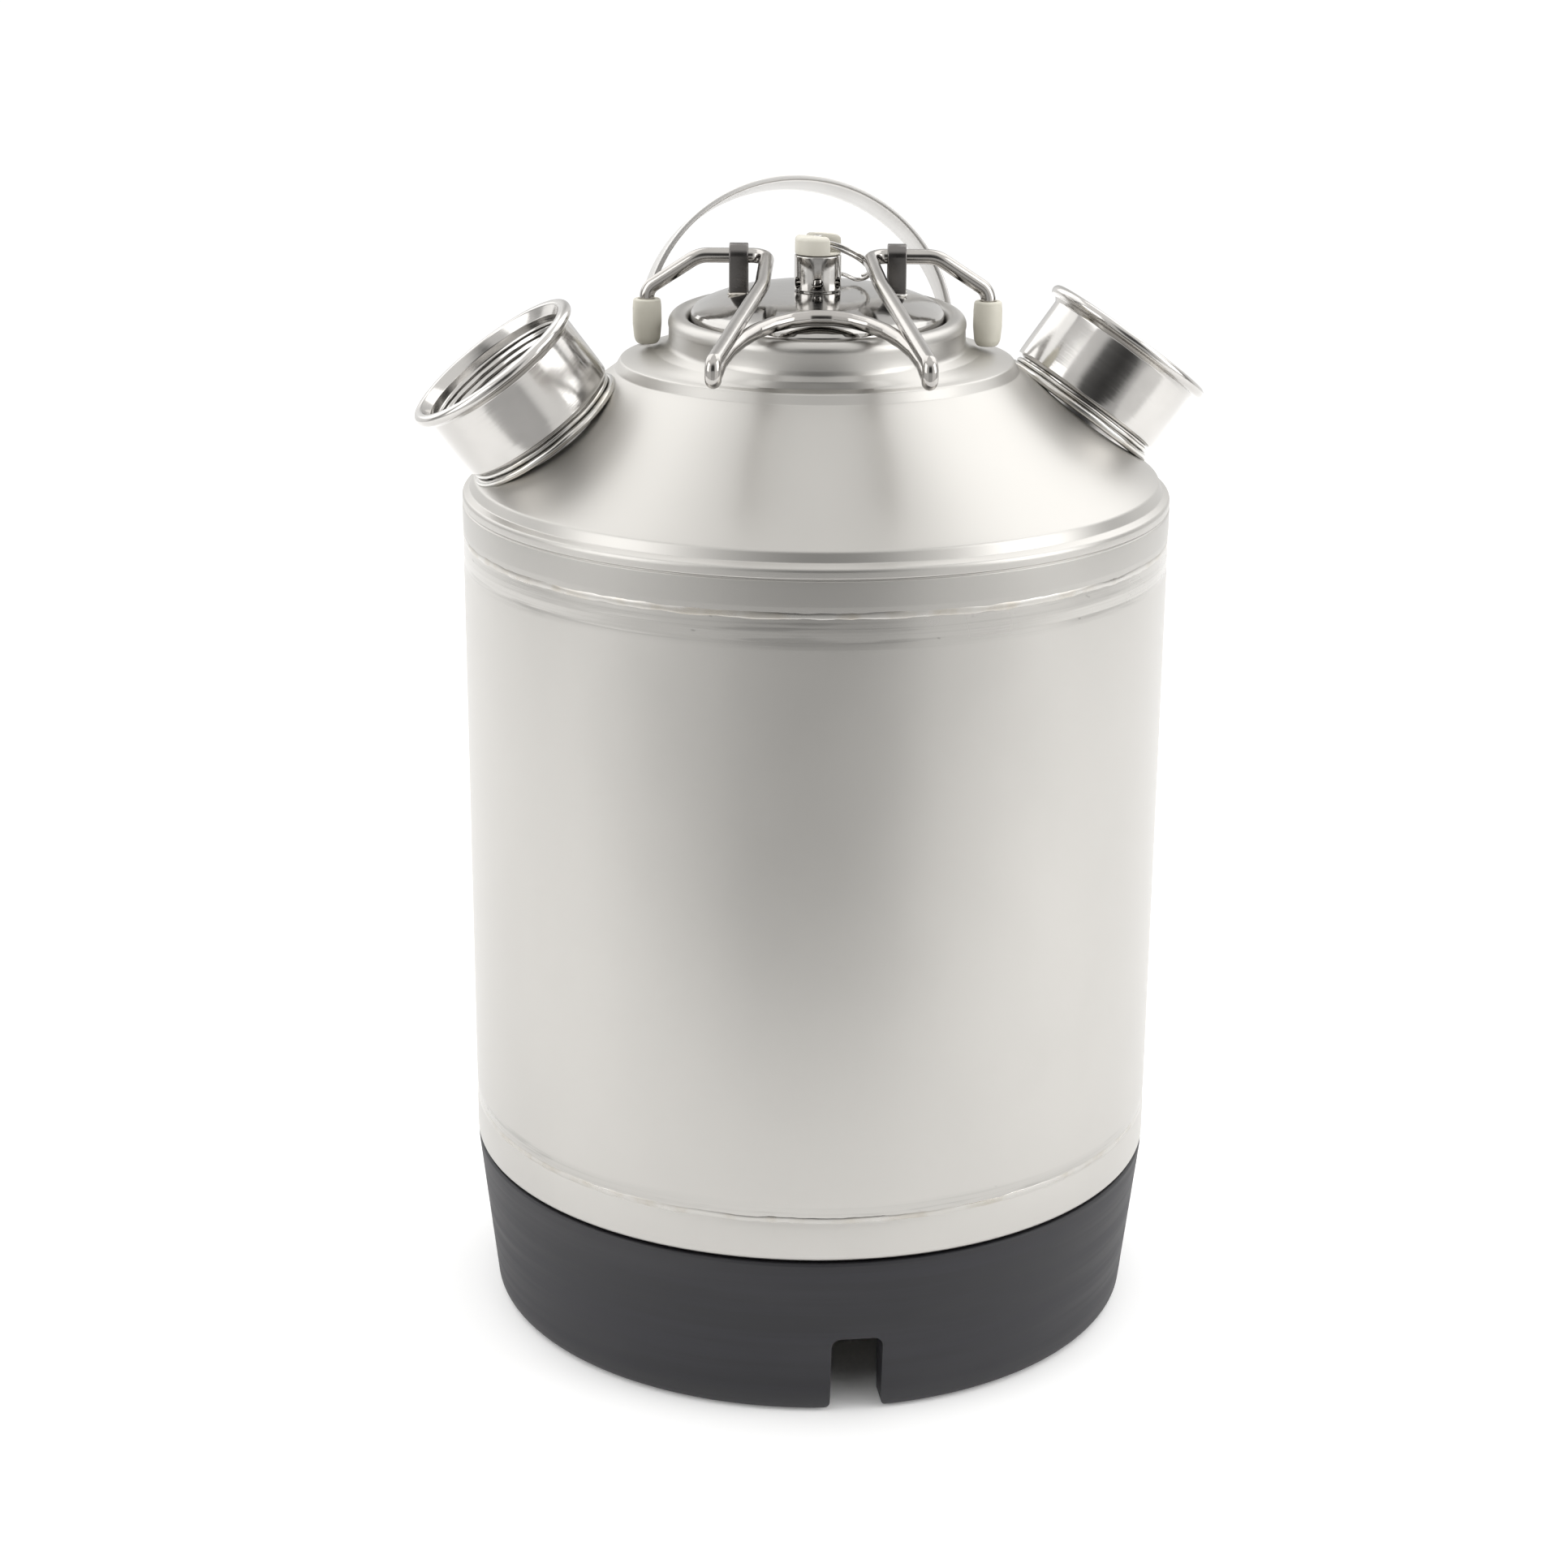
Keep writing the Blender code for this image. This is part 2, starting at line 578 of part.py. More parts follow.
def prv_poppet():
    hole = STEM_R + 0.15 * MM
    profile = [
        (hole, POPPET_Z),
        (4.1 * MM, POPPET_Z),
        (4.1 * MM, POPPET_Z + 1.2 * MM),
        (2.6 * MM, POPPET_Z + 1.2 * MM),
        (2.6 * MM, POPPET_Z + 2.4 * MM),
        (hole, POPPET_Z + 2.4 * MM),
    ]
    return place("prv_poppet", turned(profile, 16, closed=True), SATIN_STEEL)


def prv_seal():
    low, high = VALVE_SEAT_Z + GAP, POPPET_Z - GAP
    hole = STEM_R + 0.15 * MM
    profile = [(hole, low), (3.9 * MM, low), (3.9 * MM, high), (hole, high)]
    return place("prv_seal", turned(profile, 16, closed=True), BLACK_RUBBER)


def prv_spring():
    low = POPPET_Z + 1.2 * MM + GAP + SPRING_WIRE_R
    high = CAP_PLUG_Z - GAP - SPRING_WIRE_R
    per_turn = 10
    points = []
    for i in range(SPRING_TURNS * per_turn + 1):
        share = i / (SPRING_TURNS * per_turn)
        angle = 2 * math.pi * i / per_turn
        points.append((SPRING_R * math.cos(angle), SPRING_R * math.sin(angle), low + (high - low) * share))
    return wire("prv_spring", points, SPRING_WIRE_R, POLISHED_STEEL, fineness=1)


def prv_ring():
    """Split ring of two turns through the stem's eye, leaning down over one lobe of the cap.

    Angles run from the eye. The wire crosses from one turn to the other on the far side.
    """
    steps, crossing = 48, math.radians(15)
    first = math.pi + crossing + math.radians(8)
    last = 6 * math.pi - first
    points = []
    for i in range(steps + 1):
        angle = first + (last - first) * i / steps
        share = min(1, max(-1, (angle - 3 * math.pi) / crossing))
        along = (RING_WIRE_R + 0.05 * MM) * math.sin(share * math.pi / 2)
        points.append((RING_MEAN_R * math.sin(angle), RING_MEAN_R * (1 - math.cos(angle)), along))
    ring = wire("prv_ring", points, RING_WIRE_R, POLISHED_STEEL, fineness=1)
    lean = Matrix.Rotation(-RING_LEAN, 4, "X")
    ring.matrix_world = Matrix.Translation((0, 0, EYE_Z)) @ valve_matrix() @ lean
    return ring


def main():
    clear_scene()
    body_cylinder()
    top_dome()
    bottom_dome()
    rubber_boot()
    neck(-1, "neck_left")
    neck(1, "neck_right")
    strap_handle()
    lid_plate()
    lid_gasket()
    bail_bracket(-1, "bail_bracket_left")
    bail_bracket(1, "bail_bracket_right")
    prv_boss()
    prv_body()
    prv_cap()
    bail_pivot = joint_empty("bail_pivot", (0, 0, PIVOT_Z))
    hang(bail_pivot, bail_wire(), bail_foot(-1, "bail_foot_left"), bail_foot(1, "bail_foot_right"))
    valve_axis = joint_empty("valve_axis", (0, 0, EYE_Z))
    hang(valve_axis, prv_stem(), prv_poppet(), prv_seal(), prv_spring(), prv_ring())


main()
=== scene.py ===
"""Looks of the ten litre soda keg: fine surfaces, welds, finishes, camera and studio light.

Metres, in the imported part's frame: +Z up, X along the bail's pivots, -Y to the front of the lid.
"""

import json
import math

import bmesh
import bpy
from mathutils import Matrix, Vector, noise


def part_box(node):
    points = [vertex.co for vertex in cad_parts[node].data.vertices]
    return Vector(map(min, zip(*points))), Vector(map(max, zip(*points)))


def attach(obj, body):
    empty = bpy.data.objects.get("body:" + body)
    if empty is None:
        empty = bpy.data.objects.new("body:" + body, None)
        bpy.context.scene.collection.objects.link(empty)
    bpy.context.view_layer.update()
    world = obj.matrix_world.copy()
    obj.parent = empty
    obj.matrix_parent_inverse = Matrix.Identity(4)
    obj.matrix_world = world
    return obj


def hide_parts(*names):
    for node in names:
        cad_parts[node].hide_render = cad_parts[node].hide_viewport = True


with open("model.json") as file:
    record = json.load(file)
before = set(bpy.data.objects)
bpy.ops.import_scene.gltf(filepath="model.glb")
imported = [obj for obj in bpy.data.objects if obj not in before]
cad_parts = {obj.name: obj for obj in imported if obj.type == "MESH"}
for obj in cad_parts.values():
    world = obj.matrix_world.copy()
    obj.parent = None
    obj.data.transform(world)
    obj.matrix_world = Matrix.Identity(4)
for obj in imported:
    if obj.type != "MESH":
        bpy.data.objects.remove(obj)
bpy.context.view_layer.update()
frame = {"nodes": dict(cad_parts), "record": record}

MM = 0.001
FINE = 224                  # sides of the body's round pieces

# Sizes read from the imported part
BODY_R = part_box("body_cylinder")[1].y
BOTTOM_SEAM_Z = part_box("bottom_dome")[1].z
TOP_SEAM_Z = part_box("top_dome")[0].z
BOOT_TOP_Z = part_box("rubber_boot")[1].z + 0.2 * MM
PIVOT_Z = next(joint["pos_m"][2] for joint in frame["record"]["behaviour"]["joints"]
               if joint["name"] == "bail_swing")
LID_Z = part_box("lid_plate")[1].z
FOOT_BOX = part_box("bail_foot_right")
VALVE_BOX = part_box("prv_body")
CAP_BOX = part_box("prv_cap")

# Sizes that the frame doesn't state, as in the part's own source. Only the necks' lips are a hair smaller,
# so that their finer mesh stays inside the part's box.
WALL = 1.4 * MM
GAP = 0.3 * MM
WIRE_R = 2.25 * MM
CONE_ANGLE = math.radians(36.6)
RING_R, RING_Z = 60 * MM, 299.5 * MM
STEP_R, STEP_Z = 57 * MM, 304.3 * MM
MOUTH_X, MOUTH_Y = 38.8 * MM, 50 * MM
ROLL_R, ROLL_Z = 3.1 * MM, 312.4 * MM
BOOT_FOOT_R, BOOT_INNER_R = 102.6 * MM, 94 * MM
NOTCH_WIDTH, NOTCH_HEIGHT, NOTCH_TURN = 15.5 * MM, 25.5 * MM, math.radians(8.2)
NECK_TURN = math.radians(13)
NECK_BASE_R, NECK_BASE_Z, NECK_HEIGHT = 83 * MM, 282 * MM, 28 * MM
NECK_LIP_R, NECK_R, NECK_ROOT_R = 28.7 * MM, 25.65 * MM, 23.3 * MM
NECK_BORE_R, NECK_SEAT_R = 23.5 * MM, 21.2 * MM
HANDLE_BACK, HANDLE_HALF_WIDTH = 28 * MM, 48.5 * MM
HANDLE_FOOT_Z, HANDLE_RISE, HANDLE_LEAN = 304 * MM, 47 * MM, math.radians(16)
HANDLE_WIDE, HANDLE_NARROW, HANDLE_THICK = 20 * MM, 7 * MM, 1.8 * MM
LID_X, LID_Y, LID_THICK = 38.2 * MM, 49.4 * MM, 1.6 * MM
CROWN_X, CROWN_Y, CROWN_DROP = 36.5 * MM, 47.7 * MM, 4.7 * MM
FLANGE_X, FLANGE_Y, FLANGE_Z = 43 * MM, 54.2 * MM, 305.6 * MM
BRACKET_X, BRACKET_WIDTH, BRACKET_THICK = 23.7 * MM, 5.7 * MM, 1.3 * MM
BRACKET_SLACK = 0.25 * MM
ARM_X, ARM_Y = 51.5 * MM, 2.2 * MM
LEVER_X, LEVER_Y, LEVER_SLOPE, LEVER_SKEW = 29.6 * MM, -95 * MM, 0.165, 1.3 * MM
HAIRPIN_R, HAIRPIN_DROP, ARCH_Y, ARCH_Z = 2.4 * MM, 5.6 * MM, -44.8 * MM, 321.0 * MM
VALVE_R, VALVE_BORE_R, VALVE_SHANK_R = 7.05 * MM, 4.6 * MM, 6 * MM
ORIFICE_R, ORIFICE_TOP_Z = 2.6 * MM, 313.5 * MM
VENT_R, VENT_Z = 1.75 * MM, 324.7 * MM
SLOT_HALF, SLOT_FLOOR_Z = 3 * MM, 333.7 * MM
VALVE_TURN = math.radians(-32)
STEM_R, STEM_HEAD_R = 1.6 * MM, 2.2 * MM
EYE_Z, EYE_R, EYE_HOLE_R, EYE_HALF = 336.2 * MM, 2.3 * MM, 1.55 * MM, 1.1 * MM
RING_MEAN_R, RING_WIRE_R, RING_LEAN = 11.4 * MM, 0.58 * MM, math.radians(34)

BODY_OF = {node: body for body, nodes in frame["record"]["behaviour"]["bodies"].items() for node in nodes}


# ---------------------------------------------------------------- shapes

def arc(centre, radius, start, end, steps):
    angles = (math.radians(start + (end - start) * i / steps) for i in range(steps + 1))
    return [(centre[0] + radius * math.cos(a), centre[1] + radius * math.sin(a)) for a in angles]


def eased(corners, step=math.radians(6)):
    """Points along straight runs between corners; each corner (point, radius) is eased by an arc."""
    corners = [(Vector(point), radius) for point, radius in corners]
    points = [corners[0][0]]
    for (before, _), (corner, radius), (after, _) in zip(corners, corners[1:], corners[2:]):
        inward = (before - corner).normalized()
        outward = (after - corner).normalized()
        half = inward.angle(outward) / 2
        if radius == 0 or half > math.radians(89.5):
            points.append(corner)
            continue
        reach = min(radius / math.tan(half), 0.49 * (before - corner).length, 0.49 * (after - corner).length)
        radius = reach * math.tan(half)
        centre = corner + (inward + outward).normalized() * (radius / math.sin(half))
        start, end = corner + inward * reach - centre, corner + outward * reach - centre
        sweep = start.angle(end)
        count = max(2, math.ceil(sweep / step))
        for i in range(count + 1):
            share = i / count
            points.append(centre + (start * math.sin((1 - share) * sweep)
                                    + end * math.sin(share * sweep)) / math.sin(sweep))
    points.append(corners[-1][0])
    return points


def dense(points, longest):
    """The same path with its long runs divided."""
    made = [points[0]]
    for a, b in zip(points, points[1:]):
        parts = max(1, math.ceil((b - a).length / longest))
        made += [a.lerp(b, i / parts) for i in range(1, parts + 1)]
    return made


def skin(rows, closed=False):
    """A mesh over rings of points; closed joins the last ring to the first."""
    count, total = len(rows[0]), len(rows)
    faces = []
    for i in range(total if closed else total - 1):
        low, high = i * count, (i + 1) % total * count
        for j in range(count):
            k = (j + 1) % count
            faces.append((low + j, low + k, high + k, high + j))
    mesh = bpy.data.meshes.new("skin")
    mesh.from_pydata([point for row in rows for point in row], [], faces)
    tidied(mesh)
    return mesh


def tidied(mesh):
    """Merges doubled points, drops empty faces, and turns the faces of a closed mesh outwards."""
    bm = bmesh.new()
    bm.from_mesh(mesh)
    bmesh.ops.remove_doubles(bm, verts=bm.verts, dist=1e-7)
    bmesh.ops.dissolve_degenerate(bm, edges=bm.edges, dist=1e-7)
    if not any(edge.is_boundary for edge in bm.edges):
        bmesh.ops.recalc_face_normals(bm, faces=bm.faces)
    bm.to_mesh(mesh)
    bm.free()


def oval(half_x, half_y, z, sides):
    turns = (2 * math.pi * i / sides for i in range(sides))
    return [Vector((half_x * math.cos(a), half_y * math.sin(a), z)) for a in turns]


def turned(profile, sides=FINE, closed=False):
    """A mesh turned about Z from (radius, height) points that run up its outer side."""
    return skin([oval(radius, radius, z, sides) for radius, z in profile], closed)


def outline(corners):
    """The (radius, height) points of a profile with eased corners (radius, height, easing)."""
    return eased([((r, z), ease) for r, z, ease in corners])


def rounded(half_a, half_b, edge, per_corner):
    """Offsets (a, b) round a rectangle with eased corners, for a strap's section."""
    for side_a, side_b in ((1, 1), (-1, 1), (-1, -1), (1, -1)):
        for k in range(per_corner):
            turn = math.atan2(side_b, side_a) - math.pi / 4 + math.pi / 2 * k / (per_corner - 1)
            yield (side_a * (half_a - edge) + edge * math.cos(turn),
                   side_b * (half_b - edge) + edge * math.sin(turn))


def sweep(path, section):
    """Rows of a section carried along a path without twist; section(i) gives (side, up) offsets."""
    rows = []
    side = None
    for i, point in enumerate(path):
        ahead = (path[min(i + 1, len(path) - 1)] - path[max(i - 1, 0)]).normalized()
        if side is None:
            side = ahead.orthogonal().normalized()
        side = (side - ahead * side.dot(ahead)).normalized()
        up = ahead.cross(side)
        rows.append([point + side * a + up * b for a, b in section(i)])
    return rows


def capped(rows):
    """Rows closed at both ends by a fan to a middle point."""
    first = sum(rows[0], Vector()) / len(rows[0])
    last = sum(rows[-1], Vector()) / len(rows[-1])
    return [[first] * len(rows[0])] + rows + [[last] * len(rows[-1])]


def tube(path, radius, sides):
    """A round rod along a path, its ends eased."""
    edge = min(0.25 * MM, radius * 0.3)
    ahead, back = (path[1] - path[0]).normalized(), (path[-2] - path[-1]).normalized()
    path = [path[0], path[0] + ahead * edge, *path[1:-1], path[-1] + back * edge, path[-1]]
    last = len(path) - 1

    def section(i):
        r = radius - edge if i in (0, last) else radius
        return [(r * math.cos(a), r * math.sin(a)) for a in (2 * math.pi * k / sides for k in range(sides))]
    return skin(capped(sweep(path, section)))


def piece(name, mesh, look, node=None, stands_for=True, matrix=None, sharp=38):
    """A shown piece that moves with the body of a CAD node, and by default stands for that node."""
    if matrix is not None:
        mesh.transform(matrix)
    obj = bpy.data.objects.new(name, mesh)
    bpy.context.scene.collection.objects.link(obj)
    mesh.materials.clear()
    mesh.materials.append(look)
    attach(obj, BODY_OF[node])
    if stands_for:
        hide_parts(node)
    obj["sharp"] = sharp
    shade(obj)
    return obj


def shade(obj):
    obj.data.shade_smooth()
    obj.data.set_sharp_from_angle(angle=math.radians(obj["sharp"]))


def apply_modifiers(obj):
    graph = bpy.context.evaluated_depsgraph_get()
    made = bpy.data.meshes.new_from_object(obj.evaluated_get(graph))
    obj.modifiers.clear()
    obj.data = made
    shade(obj)


def thickened(obj, thickness):
    """A sheet made solid, inwards from its outer skin."""
    solidify = obj.modifiers.new("Thickness", "SOLIDIFY")
    solidify.thickness = thickness
    solidify.offset = -1
    solidify.use_even_offset = True
    apply_modifiers(obj)


def softened(obj, width, segments, sharpest):
    """The piece with its edges bevelled where they turn by more than sharpest degrees."""
    bevel = obj.modifiers.new("Edges", "BEVEL")
    bevel.width = width
    bevel.segments = segments
    bevel.limit_method = "ANGLE"
    bevel.angle_limit = math.radians(sharpest)
    apply_modifiers(obj)


def carved(obj, cutters, operation="DIFFERENCE"):
    """The piece with the cutters' meshes taken away or joined on."""
    spare = []
    for mesh, matrix in cutters:
        cutter = bpy.data.objects.new("cutter", mesh)
        bpy.context.scene.collection.objects.link(cutter)
        cutter.matrix_world = matrix
        boolean = obj.modifiers.new("Cut", "BOOLEAN")
        boolean.operation = operation
        boolean.object = cutter
        spare.append(cutter)
    bpy.context.view_layer.update()
    apply_modifiers(obj)
    for cutter in spare:
        bpy.data.objects.remove(cutter)


def rod_mesh(radius, low, high, sides=64):
    return turned([(0, low), (radius, low), (radius, high), (0, high)], sides)


def bevelled_box(low, high, width):
    bm = bmesh.new()
    bmesh.ops.create_cube(bm, size=1)
    low, high = Vector(low), Vector(high)
    size = Matrix.Diagonal((*(high - low), 1))
    bmesh.ops.transform(bm, verts=bm.verts, matrix=Matrix.Translation((low + high) / 2) @ size)
    bmesh.ops.bevel(bm, geom=bm.edges[:], offset=width, segments=3, profile=0.5, affect="EDGES")
    mesh = bpy.data.meshes.new("box")
    bm.to_mesh(mesh)
    bm.free()
    return mesh


# ---------------------------------------------------------------- finishes

class Look:
    """A material, with short calls that add and join its nodes; own is the frame its patterns follow."""

    def __init__(self, name, own=None, **constants):
        self.material = bpy.data.materials.new(name)
        self.material.use_nodes = True
        self.tree = self.material.node_tree
        self.shader = self.tree.nodes["Principled BSDF"]
        for socket, value in constants.items():
            self.shader.inputs[socket.replace("_", " ")].default_value = value
        self.place = self.node("TexCoord").outputs["Object"]
        if own is not None:
            back = own.inverted()
            self.place = self.node("Mapping", {"Vector": self.place, "Location": back.translation,
                                               "Rotation": back.to_euler()}).outputs[0]

    def node(self, kind, inputs=None, **settings):
        made = self.tree.nodes.new("ShaderNode" + kind)
        for key, value in settings.items():
            setattr(made, key, value)
        for socket, value in (inputs or {}).items():
            if isinstance(value, bpy.types.NodeSocket):
                self.tree.links.new(value, made.inputs[socket])
            else:
                made.inputs[socket].default_value = value
        return made

    def noise(self, scale, detail=2.0, roughness=0.5):
        """Noise from 0 to 1; scale is in features per metre along X, Y and Z."""
        spread = self.node("VectorMath", {0: self.place, 1: scale}, operation="MULTIPLY")
        return self.node("TexNoise", {"Vector": spread.outputs[0], "Scale": 1.0, "Detail": detail,
                                      "Roughness": roughness}).outputs["Fac"]

    def math(self, operation, *values):
        return self.node("Math", dict(enumerate(values)), operation=operation).outputs[0]

    def span(self, value, low, high, to_low=0.0, to_high=1.0):
        """Value from low..high carried smoothly to to_low..to_high, clamped."""
        ends = {"Value": value, "From Min": low, "From Max": high, "To Min": to_low, "To Max": to_high}
        return self.node("MapRange", ends, interpolation_type="SMOOTHSTEP").outputs["Result"]

    def height(self):
        return self.node("SeparateXYZ", {0: self.place}).outputs["Z"]

    def band(self, low, high, soft, waver):
        """1 between two heights, falling to 0 over soft, with both edges wavering unevenly."""
        uneven = self.math("MULTIPLY", self.math("SUBTRACT", self.noise((16, 16, 5), 2), 0.5), waver)
        z = self.math("ADD", self.height(), uneven)
        return self.math("MULTIPLY", self.span(z, low - soft, low + soft),
                         self.span(z, high - soft, high + soft, 1.0, 0.0))

    def colour(self, value):
        self.join(value, "Base Color")

    def join(self, value, socket):
        self.tree.links.new(value, self.shader.inputs[socket])

    def bump(self, height, distance, strength=1.0, under=None):
        inputs = {"Height": height, "Distance": distance, "Strength": strength}
        if under is not None:
            inputs["Normal"] = under
        made = self.node("Bump", inputs).outputs["Normal"]
        self.join(made, "Normal")
        return made


def colour_mix(look, factor, a, b):
    """A colour mix whose sockets are reached by their place, as the Mix node repeats its names."""
    made = look.tree.nodes.new("ShaderNodeMix")
    made.data_type = "RGBA"
    for socket, value in ((made.inputs[0], factor), (made.inputs[6], a), (made.inputs[7], b)):
        if isinstance(value, bpy.types.NodeSocket):
            look.tree.links.new(value, socket)
        elif isinstance(value, tuple):
            socket.default_value = (*value, 1)
        else:
            socket.default_value = value
    return made.outputs[2]


def shaded(tone, share):
    return tuple(min(1.0, c * share) for c in tone)


def satin_steel(name, tone, roughness, painted_shade_skirts=(), welds=()):
    """Bead-blasted stainless: soft clouds and fine grain, skirts painted darker as painted shade, brushed
    weld seams.

    The painted-shade skirts and the welds are (low, high, shade) in height. A weld also has level scratches
    and small pits.
    """
    look = Look(name, Metallic=1.0)
    clouds = look.noise((11, 11, 7), 3, 0.55)
    patches = look.noise((34, 34, 22), 2)
    grain = look.noise((2600, 2600, 2600), 1)
    colour = colour_mix(look, look.span(clouds, 0.32, 0.68), shaded(tone, 0.965), shaded(tone, 1.03))
    colour = colour_mix(look, look.span(patches, 0.5, 0.8, 0.0, 0.4), colour, shaded(tone, 0.965))
    rough = look.span(clouds, 0.3, 0.7, roughness - 0.025, roughness + 0.025)
    height = look.math("MULTIPLY", grain, 0.35)
    # Painted shade: the colour inside each skirt band is darkened to stand in for shade.
    for low, high, shade in painted_shade_skirts:
        band = look.band(low, high, 0.6 * MM, 0.5 * MM)
        colour = colour_mix(look, band, colour, shaded(tone, shade))
    for low, high, shade in welds:
        band = look.band(low, high, 1.1 * MM, 4 * MM)
        streaks = look.noise((9, 9, 1300), 2, 0.6)
        scratches = look.noise((22, 22, 420), 2, 0.6)
        pits = look.noise((150, 150, 420), 2)
        colour = colour_mix(look, look.math("MULTIPLY", band, 0.8), colour, shaded(tone, shade))
        stains = ((streaks, 0.5, 0.75, 0.35, 0.70), (scratches, 0.6, 0.7, 0.5, 0.62),
                  (pits, 0.7, 0.76, 0.55, 0.45))
        for marks, first, last, share, dark in stains:
            stain = look.math("MULTIPLY", band, look.span(marks, first, last, 0.0, share))
            colour = colour_mix(look, stain, colour, shaded(tone, dark))
        rough = look.math("SUBTRACT", rough, look.math("MULTIPLY", band, 0.07))
        ridges = look.math("ADD", look.math("MULTIPLY", streaks, 1.2), look.math("MULTIPLY", scratches, 2.0))
        height = look.math("ADD", height, look.math("MULTIPLY", band, ridges))
    look.colour(colour)
    look.join(rough, "Roughness")
    look.bump(height, 0.05 * MM, 0.5)
    return look.material


def polished_steel(name, tone, roughness, across=(700, 700, 700), own=None, bump=0.02 * MM):
    """Bright stainless with faint polishing marks and small wear clouds."""
    look = Look(name, own, Metallic=1.0)
    clouds = look.noise((60, 60, 60), 3)
    marks = look.noise(across, 2, 0.6)
    colour = colour_mix(look, look.span(clouds, 0.35, 0.7), shaded(tone, 0.90), tone)
    rough = look.math("ADD", look.span(clouds, 0.3, 0.7, roughness * 0.8, roughness * 1.25),
                      look.span(marks, 0.35, 0.75, 0.0, 0.05))
    look.colour(colour)
    look.join(rough, "Roughness")
    look.bump(marks, bump, 0.35)
    return look.material


def strap_steel(name, tone, roughness, own):
    """Rolled strap: faint lines along it, and a painted highlight that brightens its long edges."""
    look = Look(name, own, Metallic=1.0)
    drawn = look.noise((6, 420, 6), 2, 0.5)
    clouds = look.noise((40, 40, 40), 2)
    edge = look.span(look.math("ABSOLUTE", look.node("SeparateXYZ", {0: look.place}).outputs["Y"]),
                     6 * MM, 10 * MM)
    colour = colour_mix(look, look.span(drawn, 0.35, 0.7), shaded(tone, 0.965), tone)
    # Painted highlight: the colour brightens towards the strap's long edges.
    colour = colour_mix(look, look.math("MULTIPLY", edge, 0.8), colour, shaded(tone, 1.55))
    look.colour(colour)
    look.join(look.span(clouds, 0.3, 0.7, roughness - 0.03, roughness + 0.03), "Roughness")
    look.bump(drawn, 0.004 * MM, 0.2)
    return look.material


def weld_steel(name, tone, roughness, grain=(500, 500, 500)):
    """Weld metal that has been brushed: faint ripples and a trace of straw to grey heat tint."""
    look = Look(name, Metallic=1.0)
    tint = look.noise((120, 120, 120), 3)
    ripple = look.noise(grain, 2)
    stained = (tone[0] * 0.88, tone[1] * 0.85, tone[2] * 0.80)
    look.colour(colour_mix(look, look.span(tint, 0.4, 0.7), tone, stained))
    look.join(look.span(ripple, 0.3, 0.7, roughness - 0.04, roughness + 0.06), "Roughness")
    look.bump(ripple, 0.05 * MM, 0.4)
    return look.material


def moulded(name, tone, dark, roughness, bump=0.3):
    """Moulded rubber or plastic: faint clouds and a fine pebbled skin."""
    look = Look(name, Metallic=0.0)
    clouds = look.noise((90, 90, 60), 3)
    pebble = look.noise((1400, 1400, 1400), 2)
    look.colour(colour_mix(look, look.span(clouds, 0.35, 0.7), dark, tone))
    look.join(look.span(pebble, 0.3, 0.7, roughness - 0.05, roughness + 0.06), "Roughness")
    look.bump(pebble, 0.04 * MM, bump)
    return look.material


def boot_rubber(name):
    """Charcoal rubber with the faint level streaks that turning in the mould leaves, and dusty wear."""
    look = Look(name, Metallic=0.0)
    streaks = look.noise((7, 7, 260), 3, 0.6)
    wide = look.noise((10, 10, 40), 3, 0.5)
    pebble = look.noise((1500, 1500, 1500), 2)
    low = look.span(look.height(), 0.0, 9 * MM, 1.0, 0.0)
    dark, pale = (0.0080, 0.0078, 0.0108), (0.0165, 0.0160, 0.0210)
    worn, dusty = (0.028, 0.027, 0.031), (0.075, 0.073, 0.074)
    colour = colour_mix(look, look.span(streaks, 0.36, 0.68), dark, pale)
    colour = colour_mix(look, look.span(wide, 0.45, 0.75, 0.0, 0.45), colour, worn)
    colour = colour_mix(look, look.math("MULTIPLY", low, 0.30), colour, dusty)
    look.colour(colour)
    look.join(look.span(streaks, 0.3, 0.7, 0.52, 0.64), "Roughness")
    under = look.bump(streaks, 0.05 * MM, 0.35)
    look.bump(pebble, 0.05 * MM, 0.25, under)
    return look.material


def floor_look():
    """White table top that glows a little as painted light, except under the keg."""
    look = Look("studio_floor", Roughness=0.9, Emission_Color=(1, 1, 1, 1))
    clouds = look.noise((1.5, 1.5, 1.5), 2)
    look.colour(colour_mix(look, clouds, (0.90, 0.90, 0.90), (0.92, 0.92, 0.92)))
    away = look.node("VectorMath", {0: look.place}, operation="LENGTH").outputs["Value"]
    # Painted light: the floor glows away from the keg and not under it.
    look.join(look.span(away, 0.70 * BODY_R, 1.05 * BODY_R, 0.0, 0.2), "Emission Strength")
    return look.material


def cone_z(radius):
    return RING_Z - (radius - RING_R) * math.tan(CONE_ANGLE)


def neck_matrix(side):
    turn = Matrix.Rotation(NECK_TURN + (math.pi if side < 0 else 0), 4, "Z")
    return turn @ Matrix.Translation((NECK_BASE_R, 0, NECK_BASE_Z)) @ Matrix.Rotation(CONE_ANGLE, 4, "Y")


def handle_matrix():
    stand = Matrix.Rotation(NECK_TURN, 4, "Z") @ Matrix.Translation((0, HANDLE_BACK, HANDLE_FOOT_Z))
    return stand @ Matrix.Rotation(-HANDLE_LEAN, 4, "X")


# Reflected colour of the blasted shells, the polished parts, the bail's wire and the lid
STEEL = (0.490, 0.478, 0.456)
BRIGHT = (0.57, 0.555, 0.535)
WIRE = (0.47, 0.452, 0.430)
LID = (0.45, 0.438, 0.420)
# Bands on the shells: (low, high, shade). The skirt band is painted shade; the weld bands are brushed weld
# finish.
PAINTED_SHADE_SKIRTS = ((TOP_SEAM_Z, cone_z(BODY_R) - 5 * MM, 0.86),)
WELDS = ((TOP_SEAM_Z - 9 * MM, TOP_SEAM_Z, 0.93), (BOTTOM_SEAM_Z, BOTTOM_SEAM_Z + 4.5 * MM, 0.92))

